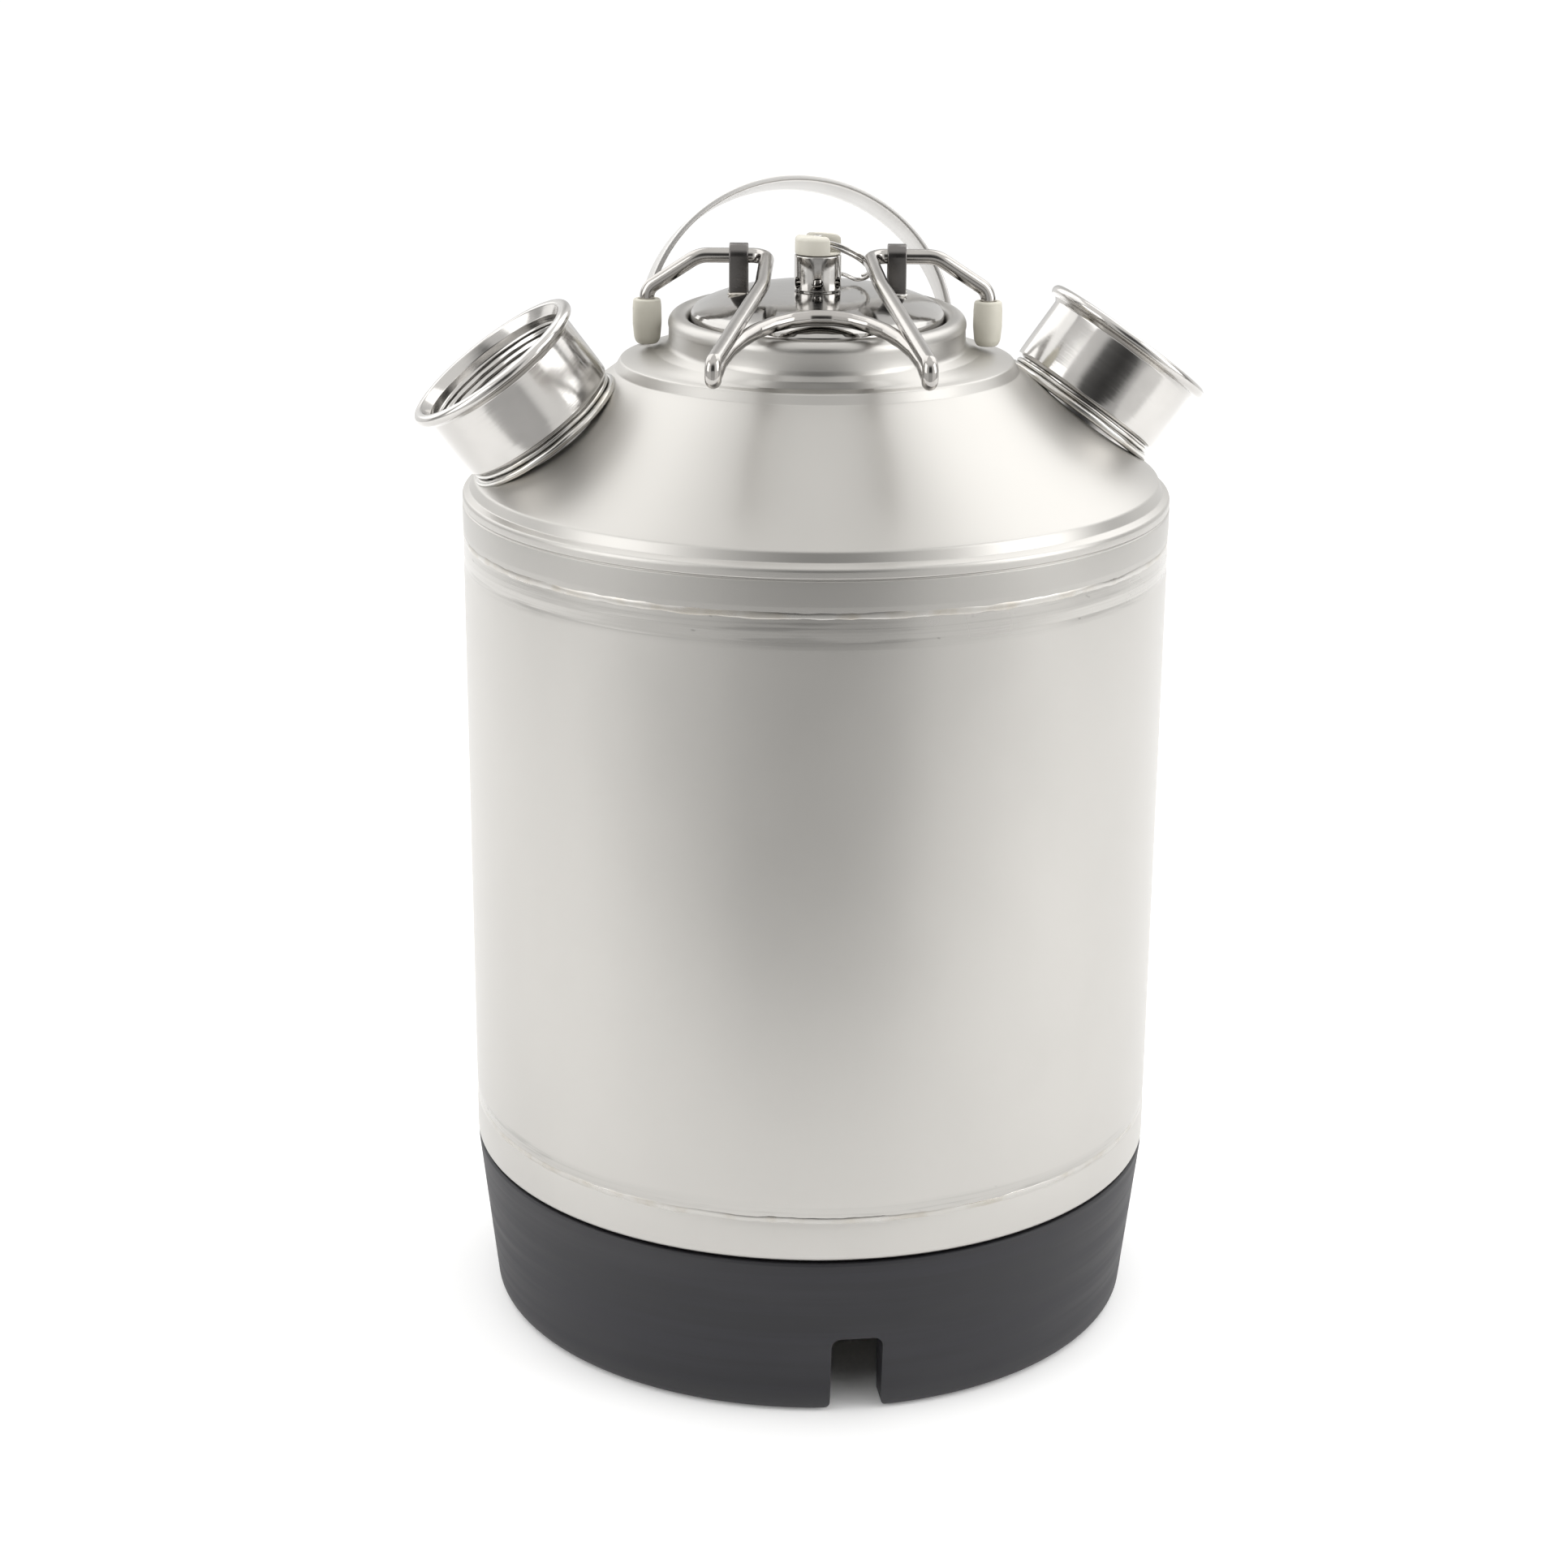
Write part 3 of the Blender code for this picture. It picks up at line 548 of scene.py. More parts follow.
satin = satin_steel("satin_steel", STEEL, 0.36, welds=WELDS)
satin_dome = satin_steel("satin_steel_dome", STEEL, 0.38, painted_shade_skirts=PAINTED_SHADE_SKIRTS)
polished = polished_steel("polished_steel", BRIGHT, 0.09)
polished_wire = polished_steel("polished_wire", WIRE, 0.12)
polished_lid = polished_steel("polished_lid", LID, 0.10, (330, 330, 330), bump=0.06 * MM)
bracket_steel = polished_steel("bracket_steel", (0.185, 0.176, 0.170), 0.22, (90, 90, 300))
turned_steel = {side: polished_steel(f"turned_steel_{name}", BRIGHT, 0.13, (30, 30, 2600), neck_matrix(side))
                for side, name in ((-1, "left"), (1, "right"))}
strap = strap_steel("strap_steel", (0.60, 0.59, 0.575), 0.42, handle_matrix())
weld = weld_steel("weld_steel", (0.60, 0.59, 0.57), 0.2)
seam_weld = weld_steel("seam_weld_steel", shaded(STEEL, 1.02), 0.3, (60, 60, 700))
cream = moulded("cream_rubber", (0.70, 0.675, 0.585), (0.65, 0.625, 0.535), 0.55)
cream_plastic = moulded("cream_plastic", (0.76, 0.735, 0.65), (0.72, 0.695, 0.61), 0.42, 0.15)
seal_rubber = moulded("seal_rubber", (0.035, 0.035, 0.037), (0.02, 0.02, 0.022), 0.5)
charcoal = boot_rubber("boot_rubber")


# ---------------------------------------------------------------- body

def build_dome():
    """Skirt, crease, bead, cone, ring, step and the oval collar with its rolled mouth."""
    shoulder = cone_z(BODY_R)
    wall_x, wall_y = MOUTH_X + 2 * ROLL_R, MOUTH_Y + 2 * ROLL_R
    corners = [(r, r, z, ease) for r, z, ease in (
        (BODY_R - 0.25 * MM, TOP_SEAM_Z, 0),
        (BODY_R, TOP_SEAM_Z + 2.5 * MM, 3 * MM),
        (BODY_R, shoulder - 5.2 * MM, 0.2 * MM),
        (BODY_R - 0.5 * MM, shoulder - 4.8 * MM, 0.15 * MM),
        (BODY_R - 0.05 * MM, shoulder - 4.3 * MM, 0.5 * MM),
        (BODY_R - 0.05 * MM, shoulder - 1.7 * MM, 1.5 * MM),
        (BODY_R - 2.3 * MM, shoulder - 0.5 * MM, 0.9 * MM),
        (BODY_R - 3.5 * MM, cone_z(BODY_R - 3.5 * MM), 2.2 * MM),
        (RING_R + 1.3 * MM, cone_z(RING_R + 1.3 * MM), 1.8 * MM),
        (RING_R - 0.4 * MM, RING_Z + 2.0 * MM, 1.6 * MM),
        (STEP_R, RING_Z + 2.9 * MM, 0),
    )]
    corners += [
        (wall_x + 4.2 * MM, wall_y + 0.75 * MM, STEP_Z + 0.1 * MM, 2.2 * MM),
        (wall_x + 0.1 * MM, wall_y - 0.25 * MM, STEP_Z + 2.0 * MM, 2.4 * MM),
        (wall_x - 0.5 * MM, wall_y - 0.55 * MM, STEP_Z + 5.0 * MM, 3 * MM),
    ]
    path = eased([((x, y, z), ease) for x, y, z, ease in corners])[:-1]
    roll = arc((MOUTH_X + ROLL_R, ROLL_Z), ROLL_R, -22, 180, 26)
    path += [Vector((x, x - MOUTH_X + MOUTH_Y, z)) for x, z in roll]
    path.append(Vector((MOUTH_X, MOUTH_Y, ROLL_Z - 2 * MM)))
    path = dense(path, 3 * MM)
    mesh = skin([oval(x, y, z, FINE) for x, y, z in path])
    dome = piece("top_dome_skin", mesh, satin_dome, "top_dome", sharp=50)
    thickened(dome, WALL)
    hole_r, reach = NECK_ROOT_R + 0.3 * MM, 12 * MM
    carved(dome, [(rod_mesh(hole_r, -reach, reach), neck_matrix(side)) for side in (-1, 1)])


def build_cylinder():
    """Rolled tube, pulled in by a hair at the welds."""
    low, high = BOTTOM_SEAM_Z + GAP, TOP_SEAM_Z - GAP
    dip = 0.22 * MM
    outer = outline([
        (BODY_R - dip, low, 0),
        (BODY_R - dip * 0.7, low + 1.2 * MM, 1 * MM),
        (BODY_R, low + 4.5 * MM, 6 * MM),
        (BODY_R, high - 9.5 * MM, 8 * MM),
        (BODY_R - dip * 0.8, high - 7.2 * MM, 3 * MM),
        (BODY_R - dip * 0.1, high - 4.5 * MM, 4 * MM),
        (BODY_R - dip * 0.9, high - 0.6 * MM, 1 * MM),
        (BODY_R - dip, high, 0),
    ])
    inner = [(BODY_R - WALL, high), (BODY_R - WALL, low)]
    piece("body_skin", turned(dense(outer, 6 * MM) + inner, closed=True), satin, "body_cylinder", sharp=50)


def build_seam_weld(name, z, node):
    """A flat, uneven bead that closes the joint between two pressed pieces."""
    sides, steps = 400, 12
    rings = []
    for j in range(steps):
        turn = 2 * math.pi * j / steps
        ring = []
        for k in range(sides):
            angle = 2 * math.pi * k / sides
            spot = Vector((8 * math.cos(angle), 8 * math.sin(angle), 90 * z))
            drift, swell = noise.noise(spot), noise.noise(3 * spot)
            radius = BODY_R - 0.40 * MM + (0.33 + 0.06 * swell) * MM * math.cos(turn)
            ring.append(Vector((radius * math.cos(angle), radius * math.sin(angle),
                                z + (0.35 * drift + (1.25 + 0.35 * swell) * math.sin(turn)) * MM)))
        rings.append(ring)
    piece(name, skin(rings, closed=True), seam_weld, node, False)


def build_bottom():
    seat_r, knuckle_r, crown_r = BODY_R - 3.6 * MM, 20 * MM, 240 * MM
    knuckle = (seat_r - knuckle_r, BOOT_TOP_Z - 6 * MM)
    lift = math.sqrt((crown_r - knuckle_r) ** 2 - knuckle[0] ** 2)
    crown_half = math.degrees(math.asin(knuckle[0] / (crown_r - knuckle_r)))
    crown = arc((0, knuckle[1] + lift), crown_r, -90, -90 + crown_half, 16)
    crown[0] = (0, crown[0][1])
    profile = crown + arc(knuckle, knuckle_r, -90 + crown_half, 0, 18)[1:]
    profile += [(seat_r, BOOT_TOP_Z - 0.6 * MM)]
    profile += arc((BODY_R - 1.6 * MM, BOOT_TOP_Z + 2 * MM), 1.6 * MM, -70, 0, 8)
    profile += [(BODY_R, BOTTOM_SEAM_Z - 3 * MM), (BODY_R - 0.12 * MM, BOTTOM_SEAM_Z - 1.6 * MM),
                (BODY_R - 0.25 * MM, BOTTOM_SEAM_Z)]
    bottom = piece("bottom_skin", turned(profile), satin, "bottom_dome", sharp=50)
    thickened(bottom, WALL)


def build_boot():
    """Moulded ring with soft lips round its two notches."""
    grip_r = BODY_R - 3.6 * MM + GAP
    taper = math.atan((BODY_R - BOOT_FOOT_R) / BOOT_TOP_Z)
    edge = 3.6 * MM
    profile = arc((BOOT_INNER_R + 2 * MM, 2 * MM), 2 * MM, 180, 270, 8)
    profile += arc((BOOT_FOOT_R - edge, edge), edge, -90, math.degrees(-taper), 14)
    top = (BODY_R - 0.2 * MM, BOOT_TOP_Z - 1.4 * MM)
    foot = profile[-1]
    profile += [(foot[0] + (top[0] - foot[0]) * share, foot[1] + (top[1] - foot[1]) * share)
                for share in (i / 10 for i in range(1, 10))]
    profile += arc((BODY_R - 1.2 * MM, BOOT_TOP_Z - 1.4 * MM), 1.0 * MM, 0, 80, 6)
    profile += [(grip_r + 0.4 * MM, BOOT_TOP_Z - 0.6 * MM)]
    profile += arc((grip_r - 20 * MM, BOOT_TOP_Z - 6 * MM), 20 * MM, 0, -50, 10)
    profile += [(BOOT_INNER_R, profile[-1][1] - 3.5 * MM)]
    boot = piece("boot_skin", turned(profile, 256, closed=True), charcoal, "rubber_boot")
    turns = (NOTCH_TURN, NOTCH_TURN + math.pi)
    carved(boot, [(notch_mesh(), Matrix.Rotation(turn, 4, "Z")) for turn in turns])
    softened(boot, 1.1 * MM, 4, 48)


def notch_mesh():
    """Cutter for a notch: rounded top corners, and a foot that flares so the rubber's corners are round."""
    half, corner, flare = NOTCH_WIDTH / 2, 3 * MM, 3.4 * MM
    right = [(half + flare, -10 * MM)]
    right += [(half + flare - x, z) for x, z in arc((0, flare), flare, -90, 0, 8)]
    right += arc((half - corner, NOTCH_HEIGHT - corner), corner, 0, 90, 8)
    outline = right + [(-x, z) for x, z in reversed(right)]
    bm = bmesh.new()
    face = bm.faces.new([bm.verts.new((x, -BODY_R - 10 * MM, z)) for x, z in outline])
    moved = bmesh.ops.extrude_face_region(bm, geom=[face])["geom"]
    bmesh.ops.translate(bm, verts=[item for item in moved if isinstance(item, bmesh.types.BMVert)],
                        vec=(0, BODY_R - BOOT_INNER_R + 30 * MM, 0))
    bmesh.ops.recalc_face_normals(bm, faces=bm.faces)
    mesh = bpy.data.meshes.new("notch")
    bm.to_mesh(mesh)
    bm.free()
    return mesh


def build_neck(side, name):
    """Turned neck: rolled lip, straight body, waisted root, and a thread cut inside."""
    lip_z, root_z, sides = NECK_HEIGHT, -4 * MM, 160
    outer = outline([
        (NECK_ROOT_R, root_z, 0),
        (NECK_ROOT_R, 3.9 * MM, 0.3 * MM),
        (NECK_R - 0.1 * MM, 4.0 * MM, 1.7 * MM),
        (NECK_R, 8.0 * MM, 0.5 * MM),
        (NECK_R, lip_z - 4.6 * MM, 1.0 * MM),
        (NECK_R + 0.8 * MM, lip_z - 3.5 * MM, 0.6 * MM),
        (NECK_LIP_R - 1.7 * MM, lip_z - 3.4 * MM, 0),
    ])
    rows = dense(outer, 2 * MM)[:-1]
    rows += arc((NECK_LIP_R - 1.7 * MM, lip_z - 1.72 * MM), 1.7 * MM, -84, 90, 20)
    rows += outline([
        (NECK_LIP_R - 1.9 * MM, lip_z, 0),
        (NECK_LIP_R - 3.1 * MM, lip_z - 0.05 * MM, 0.8 * MM),
        (NECK_BORE_R + 0.5 * MM, lip_z - 3.0 * MM, 0.8 * MM),
        (NECK_BORE_R + 0.35 * MM, lip_z - 5.0 * MM, 0),
    ])
    rings = [oval(r, r, z, sides) for r, z in rows]
    pitch, depth = 1.9 * MM, 0.75 * MM
    start, end = lip_z - 5.2 * MM, lip_z - 17.5 * MM
    steps, run_out = 78, 6
    for i in range(steps + 1):
        z = start + (end - start) * i / steps
        fade = min(1, i / run_out, (steps - i) / run_out)
        ring = []
        for k in range(sides):
            angle = 2 * math.pi * k / sides
            wave = abs(((z / pitch + angle / (2 * math.pi)) % 1) * 2 - 1)
            r = NECK_BORE_R + 0.3 * MM - depth * fade * (1 - wave) ** 1.15
            ring.append(Vector((r * math.cos(angle), r * math.sin(angle), z)))
        rings.append(ring)
    rings += [oval(r, r, z, sides) for r, z in (
        (NECK_BORE_R, lip_z - 18 * MM), (NECK_SEAT_R + 0.4 * MM, lip_z - 19.6 * MM),
        (NECK_SEAT_R, lip_z - 20.2 * MM), (NECK_SEAT_R, root_z))]
    piece(name + "_skin", skin(rings, True), turned_steel[side], name, matrix=neck_matrix(side), sharp=45)


def build_neck_weld(side, name, node):
    """Two uneven beads where the neck goes through the cone."""
    sides, steps = 200, 14
    for number, (major, z, minor) in enumerate(((NECK_ROOT_R + 0.6 * MM, 2.5 * MM, 0.8 * MM),
                                                (NECK_ROOT_R + 1.5 * MM, 0.5 * MM, 1.15 * MM))):
        rings = []
        for j in range(steps):
            turn = 2 * math.pi * j / steps
            ring = []
            for k in range(sides):
                angle = 2 * math.pi * k / sides
                wobble = noise.noise(Vector((3 * math.cos(angle), 3 * math.sin(angle), 5 * side + number)))
                ripple = 0.02 * MM * math.sin(angle * 90)
                r = minor * (1 + 0.07 * wobble) + ripple
                across = major + r * math.cos(turn)
                ring.append(Vector((across * math.cos(angle), across * math.sin(angle),
                                    z + 0.15 * MM * wobble + r * math.sin(turn))))
            rings.append(ring)
        piece(f"{name}_{number}", skin(rings, True), weld, node, False, neck_matrix(side))


def build_handle():
    """Bent strap with rounded edges, wide at the grip and narrow at its feet."""
    steps = 120
    rows = []
    for i in range(steps + 1):
        angle = math.pi * i / steps
        half = (HANDLE_NARROW + (HANDLE_WIDE - HANDLE_NARROW) * math.sin(angle) ** 0.8) / 2
        centre = Vector((HANDLE_HALF_WIDTH * math.cos(angle), 0, HANDLE_RISE * math.sin(angle)))
        ahead = Vector((-HANDLE_HALF_WIDTH * math.sin(angle), 0, HANDLE_RISE * math.cos(angle))).normalized()
        out = Vector((ahead.z, 0, -ahead.x))
        rows.append([centre + out * thick + Vector((0, across, 0))
                     for thick, across in rounded(HANDLE_THICK / 2, half, 0.55 * MM, 5)])
    matrix = handle_matrix()
    piece("handle_skin", skin(capped(rows)), strap, "strap_handle", matrix=matrix, sharp=50)
    for side, word in ((-1, "left"), (1, "right")):
        foot = matrix @ Vector((side * HANDLE_HALF_WIDTH, 0, 0))
        blob("handle_weld_" + word, foot, (2.1 * MM, 5.0 * MM, 1.3 * MM), NECK_TURN, "strap_handle", side)


def blob(name, middle, half, turn, node, seed):
    """A low, uneven weld bead round a foot: a squashed ball of metal."""
    levels, sides = 12, 48
    rings = []
    for j in range(levels + 1):
        lift = -math.pi / 2 + math.pi * j / levels
        ring = []
        for k in range(sides):
            angle = 2 * math.pi * k / sides
            spot = Vector((2.2 * math.cos(angle), 2.2 * math.sin(angle), 3 * seed + lift))
            across = (1 + 0.10 * noise.noise(spot)) * math.cos(lift)
            ring.append(Vector((half[0] * across * math.cos(angle), half[1] * across * math.sin(angle),
                                half[2] * math.sin(lift))))
        rings.append(ring)
    piece(name, skin(rings), weld, node, False, Matrix.Translation(middle) @ Matrix.Rotation(turn, 4, "Z"))


# ---------------------------------------------------------------- lid and bail

def crown_z(x, y):
    return LID_Z - CROWN_DROP * ((x / CROWN_X) ** 2 + (y / CROWN_Y) ** 2) ** 2


def build_lid():
    """Polished crown, a low shoulder, the turned-down wall and the flange below the mouth."""
    hole, steps, first = VALVE_SHANK_R + 0.4 * MM, 26, 7
    path = [Vector((CROWN_X * i / steps, CROWN_Y * i / steps, crown_z(CROWN_X * i / steps, 0)))
            for i in range(first, steps)]
    path += eased([
        ((CROWN_X, CROWN_Y, LID_Z - CROWN_DROP), 0),
        ((LID_X - 0.8 * MM, LID_Y - 0.8 * MM, LID_Z - 5.3 * MM), 0.6 * MM),
        ((LID_X, LID_Y, LID_Z - 6.3 * MM), 0.9 * MM),
        ((LID_X, LID_Y, FLANGE_Z + 1.6 * MM), 1.2 * MM),
        ((LID_X + 1.6 * MM, LID_Y + 1.6 * MM, FLANGE_Z), 1.6 * MM),
        ((FLANGE_X, FLANGE_Y, FLANGE_Z), 0),
    ])
    sides = 192
    rows = [oval(hole, hole, LID_Z, sides), oval(VALVE_R + 1.5 * MM, VALVE_R + 2.5 * MM, LID_Z, sides)]
    rows += [oval(x, y, z, sides) for x, y, z in dense(path, 2.5 * MM)]
    lid = piece("lid_skin", skin(rows[::-1]), polished_lid, "lid_plate", sharp=50)
    thickened(lid, LID_THICK)


def build_gasket():
    low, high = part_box("lid_gasket")
    radius = (high.z - low.z) / 2
    middle = (high.x - radius, (low.z + high.z) / 2)
    section = arc(middle, radius, 0, 345, 23)
    rows = [oval(x, x - MOUTH_X + MOUTH_Y, z, 160) for x, z in section]
    piece("gasket_skin", skin(rows, closed=True), seal_rubber, "lid_gasket")


def build_bracket(side, name):
    """Strap bent over the wire, with eased edges and a small weld at each foot."""
    inner = WIRE_R + BRACKET_SLACK
    middle = inner + BRACKET_THICK / 2
    lid_z = crown_z(BRACKET_X, middle)
    foot = lid_z - 0.1 * MM - PIVOT_Z
    path = [(middle, foot)] + [(middle, foot + 2 * MM * i) for i in range(1, 4)]
    path += arc((0, 0), middle, 0, 180, 28)
    path += [(-middle, foot + 2 * MM * i) for i in range(3, 0, -1)] + [(-middle, foot)]
    path = [Vector((0, y, z)) for y, z in path]
    half = BRACKET_WIDTH / 2
    rows = []
    for i, point in enumerate(path):
        ahead = (path[min(i + 1, len(path) - 1)] - path[max(i - 1, 0)]).normalized()
        out = Vector((0, ahead.z, -ahead.y))
        rows.append([point + out * thick + Vector((across, 0, 0))
                     for across, thick in rounded(half, BRACKET_THICK / 2, 0.35 * MM, 4)])
    spot = Matrix.Translation((side * BRACKET_X, 0, PIVOT_Z))
    piece(name + "_skin", skin(capped(rows)), bracket_steel, name, matrix=spot, sharp=50)
    for way, word in ((-1, "front"), (1, "back")):
        blob(f"{name}_weld_{word}", Vector((side * BRACKET_X, way * (middle + 0.3 * MM), lid_z)),
             (half + 0.5 * MM, 1.5 * MM, 0.75 * MM), 0, name, way + 3 * side)


def build_bail():
    """One wire: foot, arm over the lid, upright hairpin, half an ellipse for the thumb, and back."""
    top = FOOT_BOX[1].z
    tip_z = PIVOT_Z + LEVER_SLOPE * LEVER_Y
    low_z = tip_z - HAIRPIN_DROP

    def half(side):
        return [
            (Vector((side * ARM_X, ARM_Y, top - 9 * MM)), 0),
            (Vector((side * ARM_X, ARM_Y, top + 2.9 * MM)), 5 * MM),
            (Vector((side * (ARM_X - 15.8 * MM), 0, PIVOT_Z)), 9 * MM),
            (Vector((side * 15.2 * MM, 0, PIVOT_Z)), 4.6 * MM),
            (Vector((side * 17.4 * MM + LEVER_SKEW, -28 * MM, PIVOT_Z - LEVER_SLOPE * 28 * MM)), 40 * MM),
            (Vector((side * LEVER_X + LEVER_SKEW, LEVER_Y, tip_z)), HAIRPIN_R),
            (Vector((side * LEVER_X + LEVER_SKEW, LEVER_Y, low_z)), HAIRPIN_R),
        ]

    steps = 16
    turns = [math.pi * (i + 0.5) / steps for i in range(steps)]
    arch = [(Vector((LEVER_SKEW - LEVER_X * math.cos(a), LEVER_Y + (ARCH_Y - LEVER_Y) * math.sin(a),
                     low_z + (ARCH_Z - low_z) * math.sin(a))), 8 * MM) for a in turns]
    path = dense(eased(half(-1) + arch + half(1)[::-1], math.radians(5)), 4 * MM)
    piece("bail_skin", tube(path, WIRE_R, 40), polished_wire, "bail_wire")


def build_foot(side, name):
    """Moulded rubber foot: gently barrelled, domed bottom edge, a lip round the wire."""
    low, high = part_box(name)
    height, radius = high.z - low.z, (high.x - low.x) / 2
    hole, hole_floor = WIRE_R + 0.2 * MM, height - 9.3 * MM
    profile = outline([
        (0, 0, 0), (radius - 1.3 * MM, 0, 1.3 * MM), (radius - 0.45 * MM, height * 0.12, 3 * MM),
        (radius, height * 0.45, 14 * MM), (radius - 0.05 * MM, height * 0.82, 6 * MM),
        (radius - 0.3 * MM, height, 0.7 * MM), (hole + 0.25 * MM, height, 0.25 * MM),
        (hole, height - 0.8 * MM, 0.3 * MM), (hole, hole_floor, 0), (0, hole_floor, 0),
    ])
    spot = Matrix.Translation(((low.x + high.x) / 2, (low.y + high.y) / 2, low.z))
    piece(name + "_skin", turned(profile, 72), cream, name, matrix=spot, sharp=50)


# ---------------------------------------------------------------- relief valve

def valve_matrix():
    return Matrix.Rotation(VALVE_TURN, 4, "Z")


def build_valve():
    """Turned body that stands on the lid, bored from the top, with six vents round its foot."""
    low, high = VALVE_BOX[0].z, VALVE_BOX[1].z
    profile = outline([
        (ORIFICE_R, low, 0), (VALVE_SHANK_R, low, 0.4 * MM), (VALVE_SHANK_R, LID_Z + GAP, 0.05 * MM),
        (VALVE_R, LID_Z + GAP, 0.35 * MM), (VALVE_R, high, 0.4 * MM), (VALVE_BORE_R, high, 0.25 * MM),
        (VALVE_BORE_R, ORIFICE_TOP_Z, 0), (ORIFICE_R, ORIFICE_TOP_Z, 0), (ORIFICE_R, low, 0),
    ])[:-1]
    body = piece("valve_skin", turned(profile, 128, closed=True), polished, "prv_body", sharp=45)
    vents = []
    for number in range(3):
        turn = Matrix.Rotation(math.radians(90 + 60 * number), 4, "Z")
        across = Matrix.Translation((0, 0, VENT_Z)) @ turn @ Matrix.Rotation(math.pi / 2, 4, "Y")
        vents.append((rod_mesh(VENT_R, -12 * MM, 12 * MM, 40), across))
    carved(body, vents)


def build_cap():
    """Plastic cap plugged into the valve's bore; its slot leaves two lobes and takes the ring's eye."""
    low, high = CAP_BOX[0].z, CAP_BOX[1].z
    base = VALVE_BOX[1].z + GAP
    radius, hole, plug_r = VALVE_R - 0.15 * MM, STEM_R + 0.3 * MM, VALVE_BORE_R - 0.2 * MM
    profile = outline([
        (hole, low, 0), (plug_r, low, 0.3 * MM), (plug_r, base, 0.05 * MM), (radius, base, 0.25 * MM),
        (radius, high - 0.1 * MM, 1.5 * MM), (hole + 1 * MM, high, 0.3 * MM), (hole, high, 0.3 * MM),
        (hole, low, 0),
    ])[:-1]
    cap = piece("cap_skin", turned(profile, 128, closed=True), cream_plastic, "prv_cap", sharp=45)
    reach = 10 * MM
    slot = bevelled_box((-reach, -SLOT_HALF, SLOT_FLOOR_Z), (reach, SLOT_HALF, high + 5 * MM), 0.3 * MM)
    carved(cap, [(slot, valve_matrix())])
    softened(cap, 0.35 * MM, 3, 50)


def build_stem():
    """Pull stem: a rivet head in the orifice, a rod, and a flat eye for the ring."""
    head_z, rod_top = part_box("prv_stem")[0].z, EYE_Z - 0.8 * EYE_R
    profile = [(0, head_z), (STEM_HEAD_R - 0.2 * MM, head_z), (STEM_HEAD_R, head_z + 0.3 * MM),
               (STEM_HEAD_R, ORIFICE_TOP_Z), (STEM_R, ORIFICE_TOP_Z), (STEM_R, rod_top), (0, rod_top)]
    stem = piece("stem_skin", turned(profile, 48), polished, "prv_stem", matrix=valve_matrix())
    lay = valve_matrix() @ Matrix.Translation((0, 0, EYE_Z)) @ Matrix.Rotation(math.pi / 2, 4, "Y")
    eye = turned(outline([(0, -EYE_HALF, 0), (EYE_R, -EYE_HALF, 0.4 * MM), (EYE_R, EYE_HALF, 0.4 * MM),
                          (0, EYE_HALF, 0)]), 56)
    carved(stem, [(eye, lay)], "UNION")
    carved(stem, [(rod_mesh(EYE_HOLE_R, -5 * MM, 5 * MM, 40), lay)])


def build_ring():
    """Split ring of two turns of wire, crossing on the far side from the eye."""
    steps, crossing = 220, math.radians(15)
    first = math.pi + crossing + math.radians(8)
    last = 6 * math.pi - first
    points = []
    for i in range(steps + 1):
        angle = first + (last - first) * i / steps
        share = min(1, max(-1, (angle - 3 * math.pi) / crossing))
        along = (RING_WIRE_R + 0.05 * MM) * math.sin(share * math.pi / 2)
        points.append(Vector((RING_MEAN_R * math.sin(angle), RING_MEAN_R * (1 - math.cos(angle)), along)))
    matrix = Matrix.Translation((0, 0, EYE_Z)) @ valve_matrix() @ Matrix.Rotation(-RING_LEAN, 4, "X")
    piece("ring_skin", tube(points, RING_WIRE_R, 20), polished, "prv_ring", matrix=matrix)


build_dome()
build_cylinder()
build_bottom()
build_seam_weld("seam_weld_top", TOP_SEAM_Z, "body_cylinder")
build_seam_weld("seam_weld_bottom", BOTTOM_SEAM_Z, "body_cylinder")
build_boot()
for side, name in ((-1, "neck_left"), (1, "neck_right")):
    build_neck(side, name)
    build_neck_weld(side, name + "_weld", name)
build_handle()
build_lid()
build_gasket()
build_bracket(-1, "bail_bracket_left")
build_bracket(1, "bail_bracket_right")
build_bail()
build_foot(-1, "bail_foot_left")
build_foot(1, "bail_foot_right")
build_valve()
build_cap()
build_stem()
build_ring()
# Inner pieces that nobody sees keep the CAD's own meshes
for node, look in (("prv_boss", satin), ("prv_poppet", polished), ("prv_seal", seal_rubber),
                   ("prv_spring", polished)):
    frame["nodes"][node].data.materials.clear()
    frame["nodes"][node].data.materials.append(look)


# ---------------------------------------------------------------- studio

def build_floor():
    """A table top whose front edge is just before the keg, so the keg's front reflects the dark room."""
    half_x, front, back = 1.4, -0.42, 1.6
    middle = Vector((0, (front + back) / 2, -0.2 * MM))
    rows = [[point + middle for point in oval(half_x * share, (back - front) / 2 * share, 0, 96)]
            for share in (0.0, 0.3, 0.6, 1)]
    floor = bpy.data.objects.new("floor", skin(rows))
    bpy.context.scene.collection.objects.link(floor)
    floor.data.materials.append(floor_look())
    floor.data.shade_smooth()


def soft_box(name, place, target, width, height, power):
    light = bpy.data.lights.new(name, "AREA")
    light.shape = "RECTANGLE"
    light.size, light.size_y = width, height
    light.energy = power
    obj = bpy.data.objects.new(name, light)
    bpy.context.scene.collection.objects.link(obj)
    way = Vector(target) - Vector(place)
    obj.matrix_world = Matrix.Translation(place) @ way.to_track_quat("-Z", "Y").to_matrix().to_4x4()
    obj.visible_camera = False


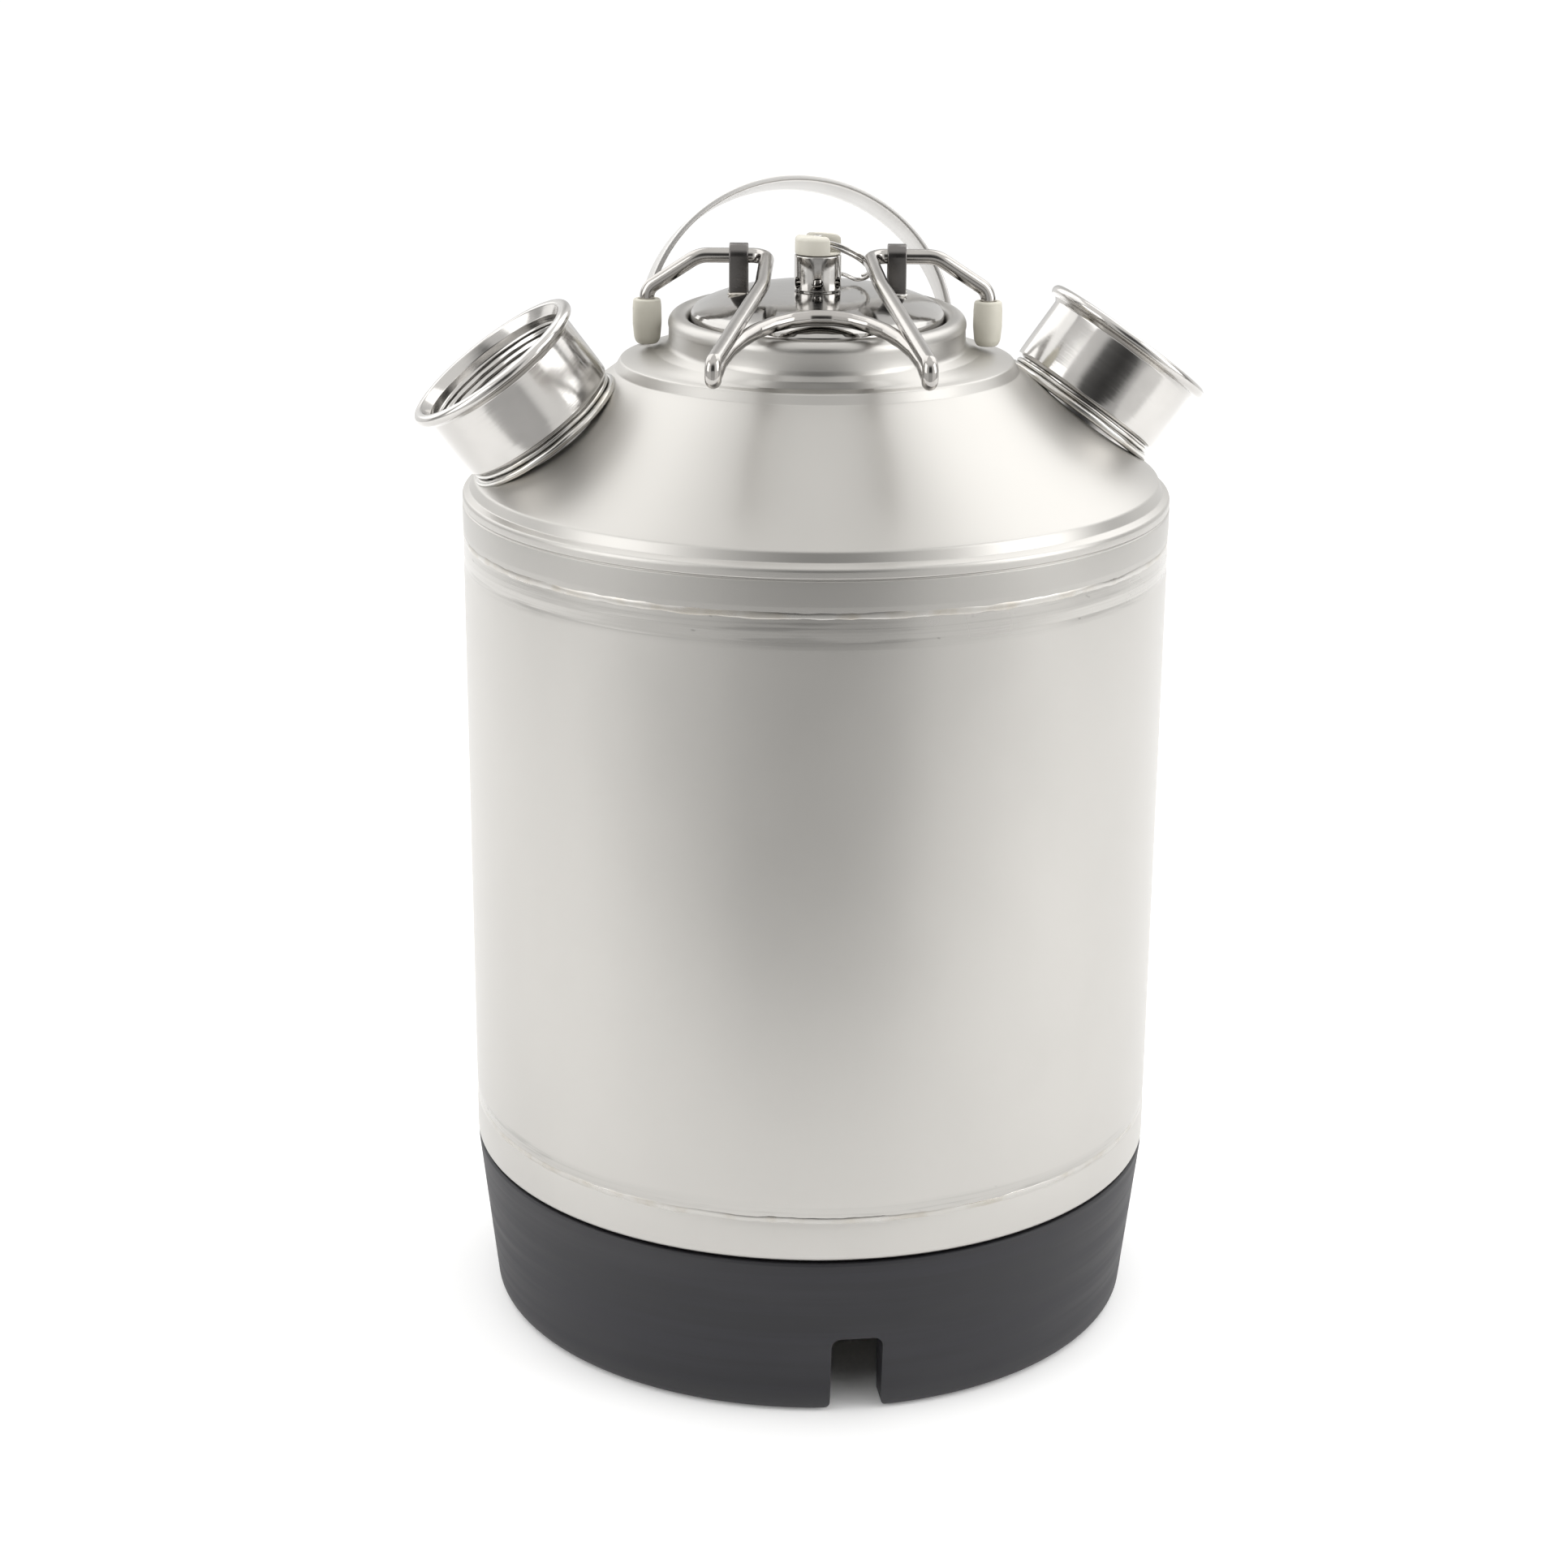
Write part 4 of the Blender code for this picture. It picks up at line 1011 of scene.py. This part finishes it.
def build_world():
    """White to the eye. Reflections see a dark camera side between two bright walls, and a pale back."""
    world = bpy.data.worlds.new("studio")
    bpy.context.scene.world = world
    world.use_nodes = True
    tree = world.node_tree
    tree.nodes.clear()

    def math_node(operation, *values):
        made = tree.nodes.new("ShaderNodeMath")
        made.operation = operation
        for socket, value in zip(made.inputs, values):
            if isinstance(value, bpy.types.NodeSocket):
                tree.links.new(value, socket)
            else:
                socket.default_value = value
        return made.outputs[0]

    split = tree.nodes.new("ShaderNodeSeparateXYZ")
    tree.links.new(tree.nodes.new("ShaderNodeTexCoord").outputs["Generated"], split.inputs[0])
    x, y, z = (split.outputs[name] for name in "XYZ")
    azimuth = math_node("ARCTAN2", x, math_node("MULTIPLY", y, -1.0))
    ramp = tree.nodes.new("ShaderNodeValToRGB")
    tree.links.new(math_node("ADD", math_node("DIVIDE", azimuth, 2 * math.pi), 0.5), ramp.inputs[0])
    ramp.color_ramp.interpolation = "EASE"
    for number, (degrees, strength) in enumerate(SURROUND):
        stop = (ramp.color_ramp.elements[number] if number < 2
                else ramp.color_ramp.elements.new(0.5 + degrees / 360))
        stop.position = 0.5 + degrees / 360
        stop.color = (strength, strength, strength, 1)

    def rise(low, high, to_low, to_high):
        made = tree.nodes.new("ShaderNodeMapRange")
        made.interpolation_type = "SMOOTHSTEP"
        for socket, value in (("From Min", low), ("From Max", high), ("To Min", to_low), ("To Max", to_high)):
            made.inputs[socket].default_value = value
        tree.links.new(z, made.inputs["Value"])
        return made.outputs["Result"]

    level = math_node("ADD", math_node("MULTIPLY", ramp.outputs["Color"], rise(0.45, 0.9, 1.0, 0.0)),
                      rise(0.45, 0.9, 0.0, ROOF))
    level = math_node("MAXIMUM", level, rise(-0.15, 0.02, GROUND, 0.0))
    seen = tree.nodes.new("ShaderNodeBackground")
    seen.inputs["Color"].default_value = (1, 1, 1, 1)
    seen.inputs["Strength"].default_value = 1.05
    around = tree.nodes.new("ShaderNodeBackground")
    around.inputs["Color"].default_value = (1, 0.995, 0.985, 1)
    tree.links.new(level, around.inputs["Strength"])
    path = tree.nodes.new("ShaderNodeLightPath")
    choice = tree.nodes.new("ShaderNodeMixShader")
    out = tree.nodes.new("ShaderNodeOutputWorld")
    tree.links.new(path.outputs["Is Camera Ray"], choice.inputs[0])
    tree.links.new(around.outputs[0], choice.inputs[1])
    tree.links.new(seen.outputs[0], choice.inputs[2])
    tree.links.new(choice.outputs[0], out.inputs[0])


# Brightness of the surroundings against the direction, in degrees from the camera's side towards +X.
# The first two are the ramp's own ends.
SURROUND = ((-180, 0.70), (180, 0.70), (-155, 1.05), (-124, 1.05), (-112, 0.50), (-98, 0.45), (-86, 0.80),
            (-30, 0.85), (-18, 0.12), (4, 0.06), (22, 0.12), (34, 1.05), (84, 1.05), (96, 0.40), (110, 0.40),
            (124, 1.05), (155, 1.05))
ROOF, GROUND = 1.12, 0.62   # brightness straight up and below the horizon
build_floor()
build_world()
soft_box("box_right", (1.35, -0.35, 0.75), (0, 0, 0.2), 0.9, 1.3, 8)
soft_box("box_left", (-1.3, -0.55, 0.7), (0, 0, 0.2), 0.9, 1.2, 6)
soft_box("box_back_right", (1.05, 0.85, 1.60), (0, 0, 0.25), 1.6, 1.6, 9.5)
soft_box("box_back_left", (-1.15, 0.95, 1.40), (0, 0, 0.25), 1.8, 2.0, 11)

bpy.context.scene.view_settings.view_transform = "Standard"

# Camera fitted to the ellipses of the keg in the photo
LENS, SENSOR = 70.27, 36
CAMERA_AT = Vector((0, -0.92196, 0.46419))
PITCH, YAW, ROLL = math.radians(-17.941), math.radians(-0.567), math.radians(0.375)


def build_camera():
    camera = bpy.data.objects.new("camera", bpy.data.cameras.new("camera"))
    bpy.context.scene.collection.objects.link(camera)
    camera.data.lens = LENS
    camera.data.sensor_width = SENSOR
    ahead = Vector((math.sin(YAW) * math.cos(PITCH), math.cos(YAW) * math.cos(PITCH), math.sin(PITCH)))
    right = Vector((math.cos(YAW), -math.sin(YAW), 0))
    up = right.cross(ahead)
    side = right * math.cos(ROLL) + up * math.sin(ROLL)
    top = up * math.cos(ROLL) - right * math.sin(ROLL)
    turn = Matrix((side, top, -ahead)).transposed().to_4x4()
    camera.matrix_world = Matrix.Translation(CAMERA_AT) @ turn
    bpy.context.scene.camera = camera


build_camera()
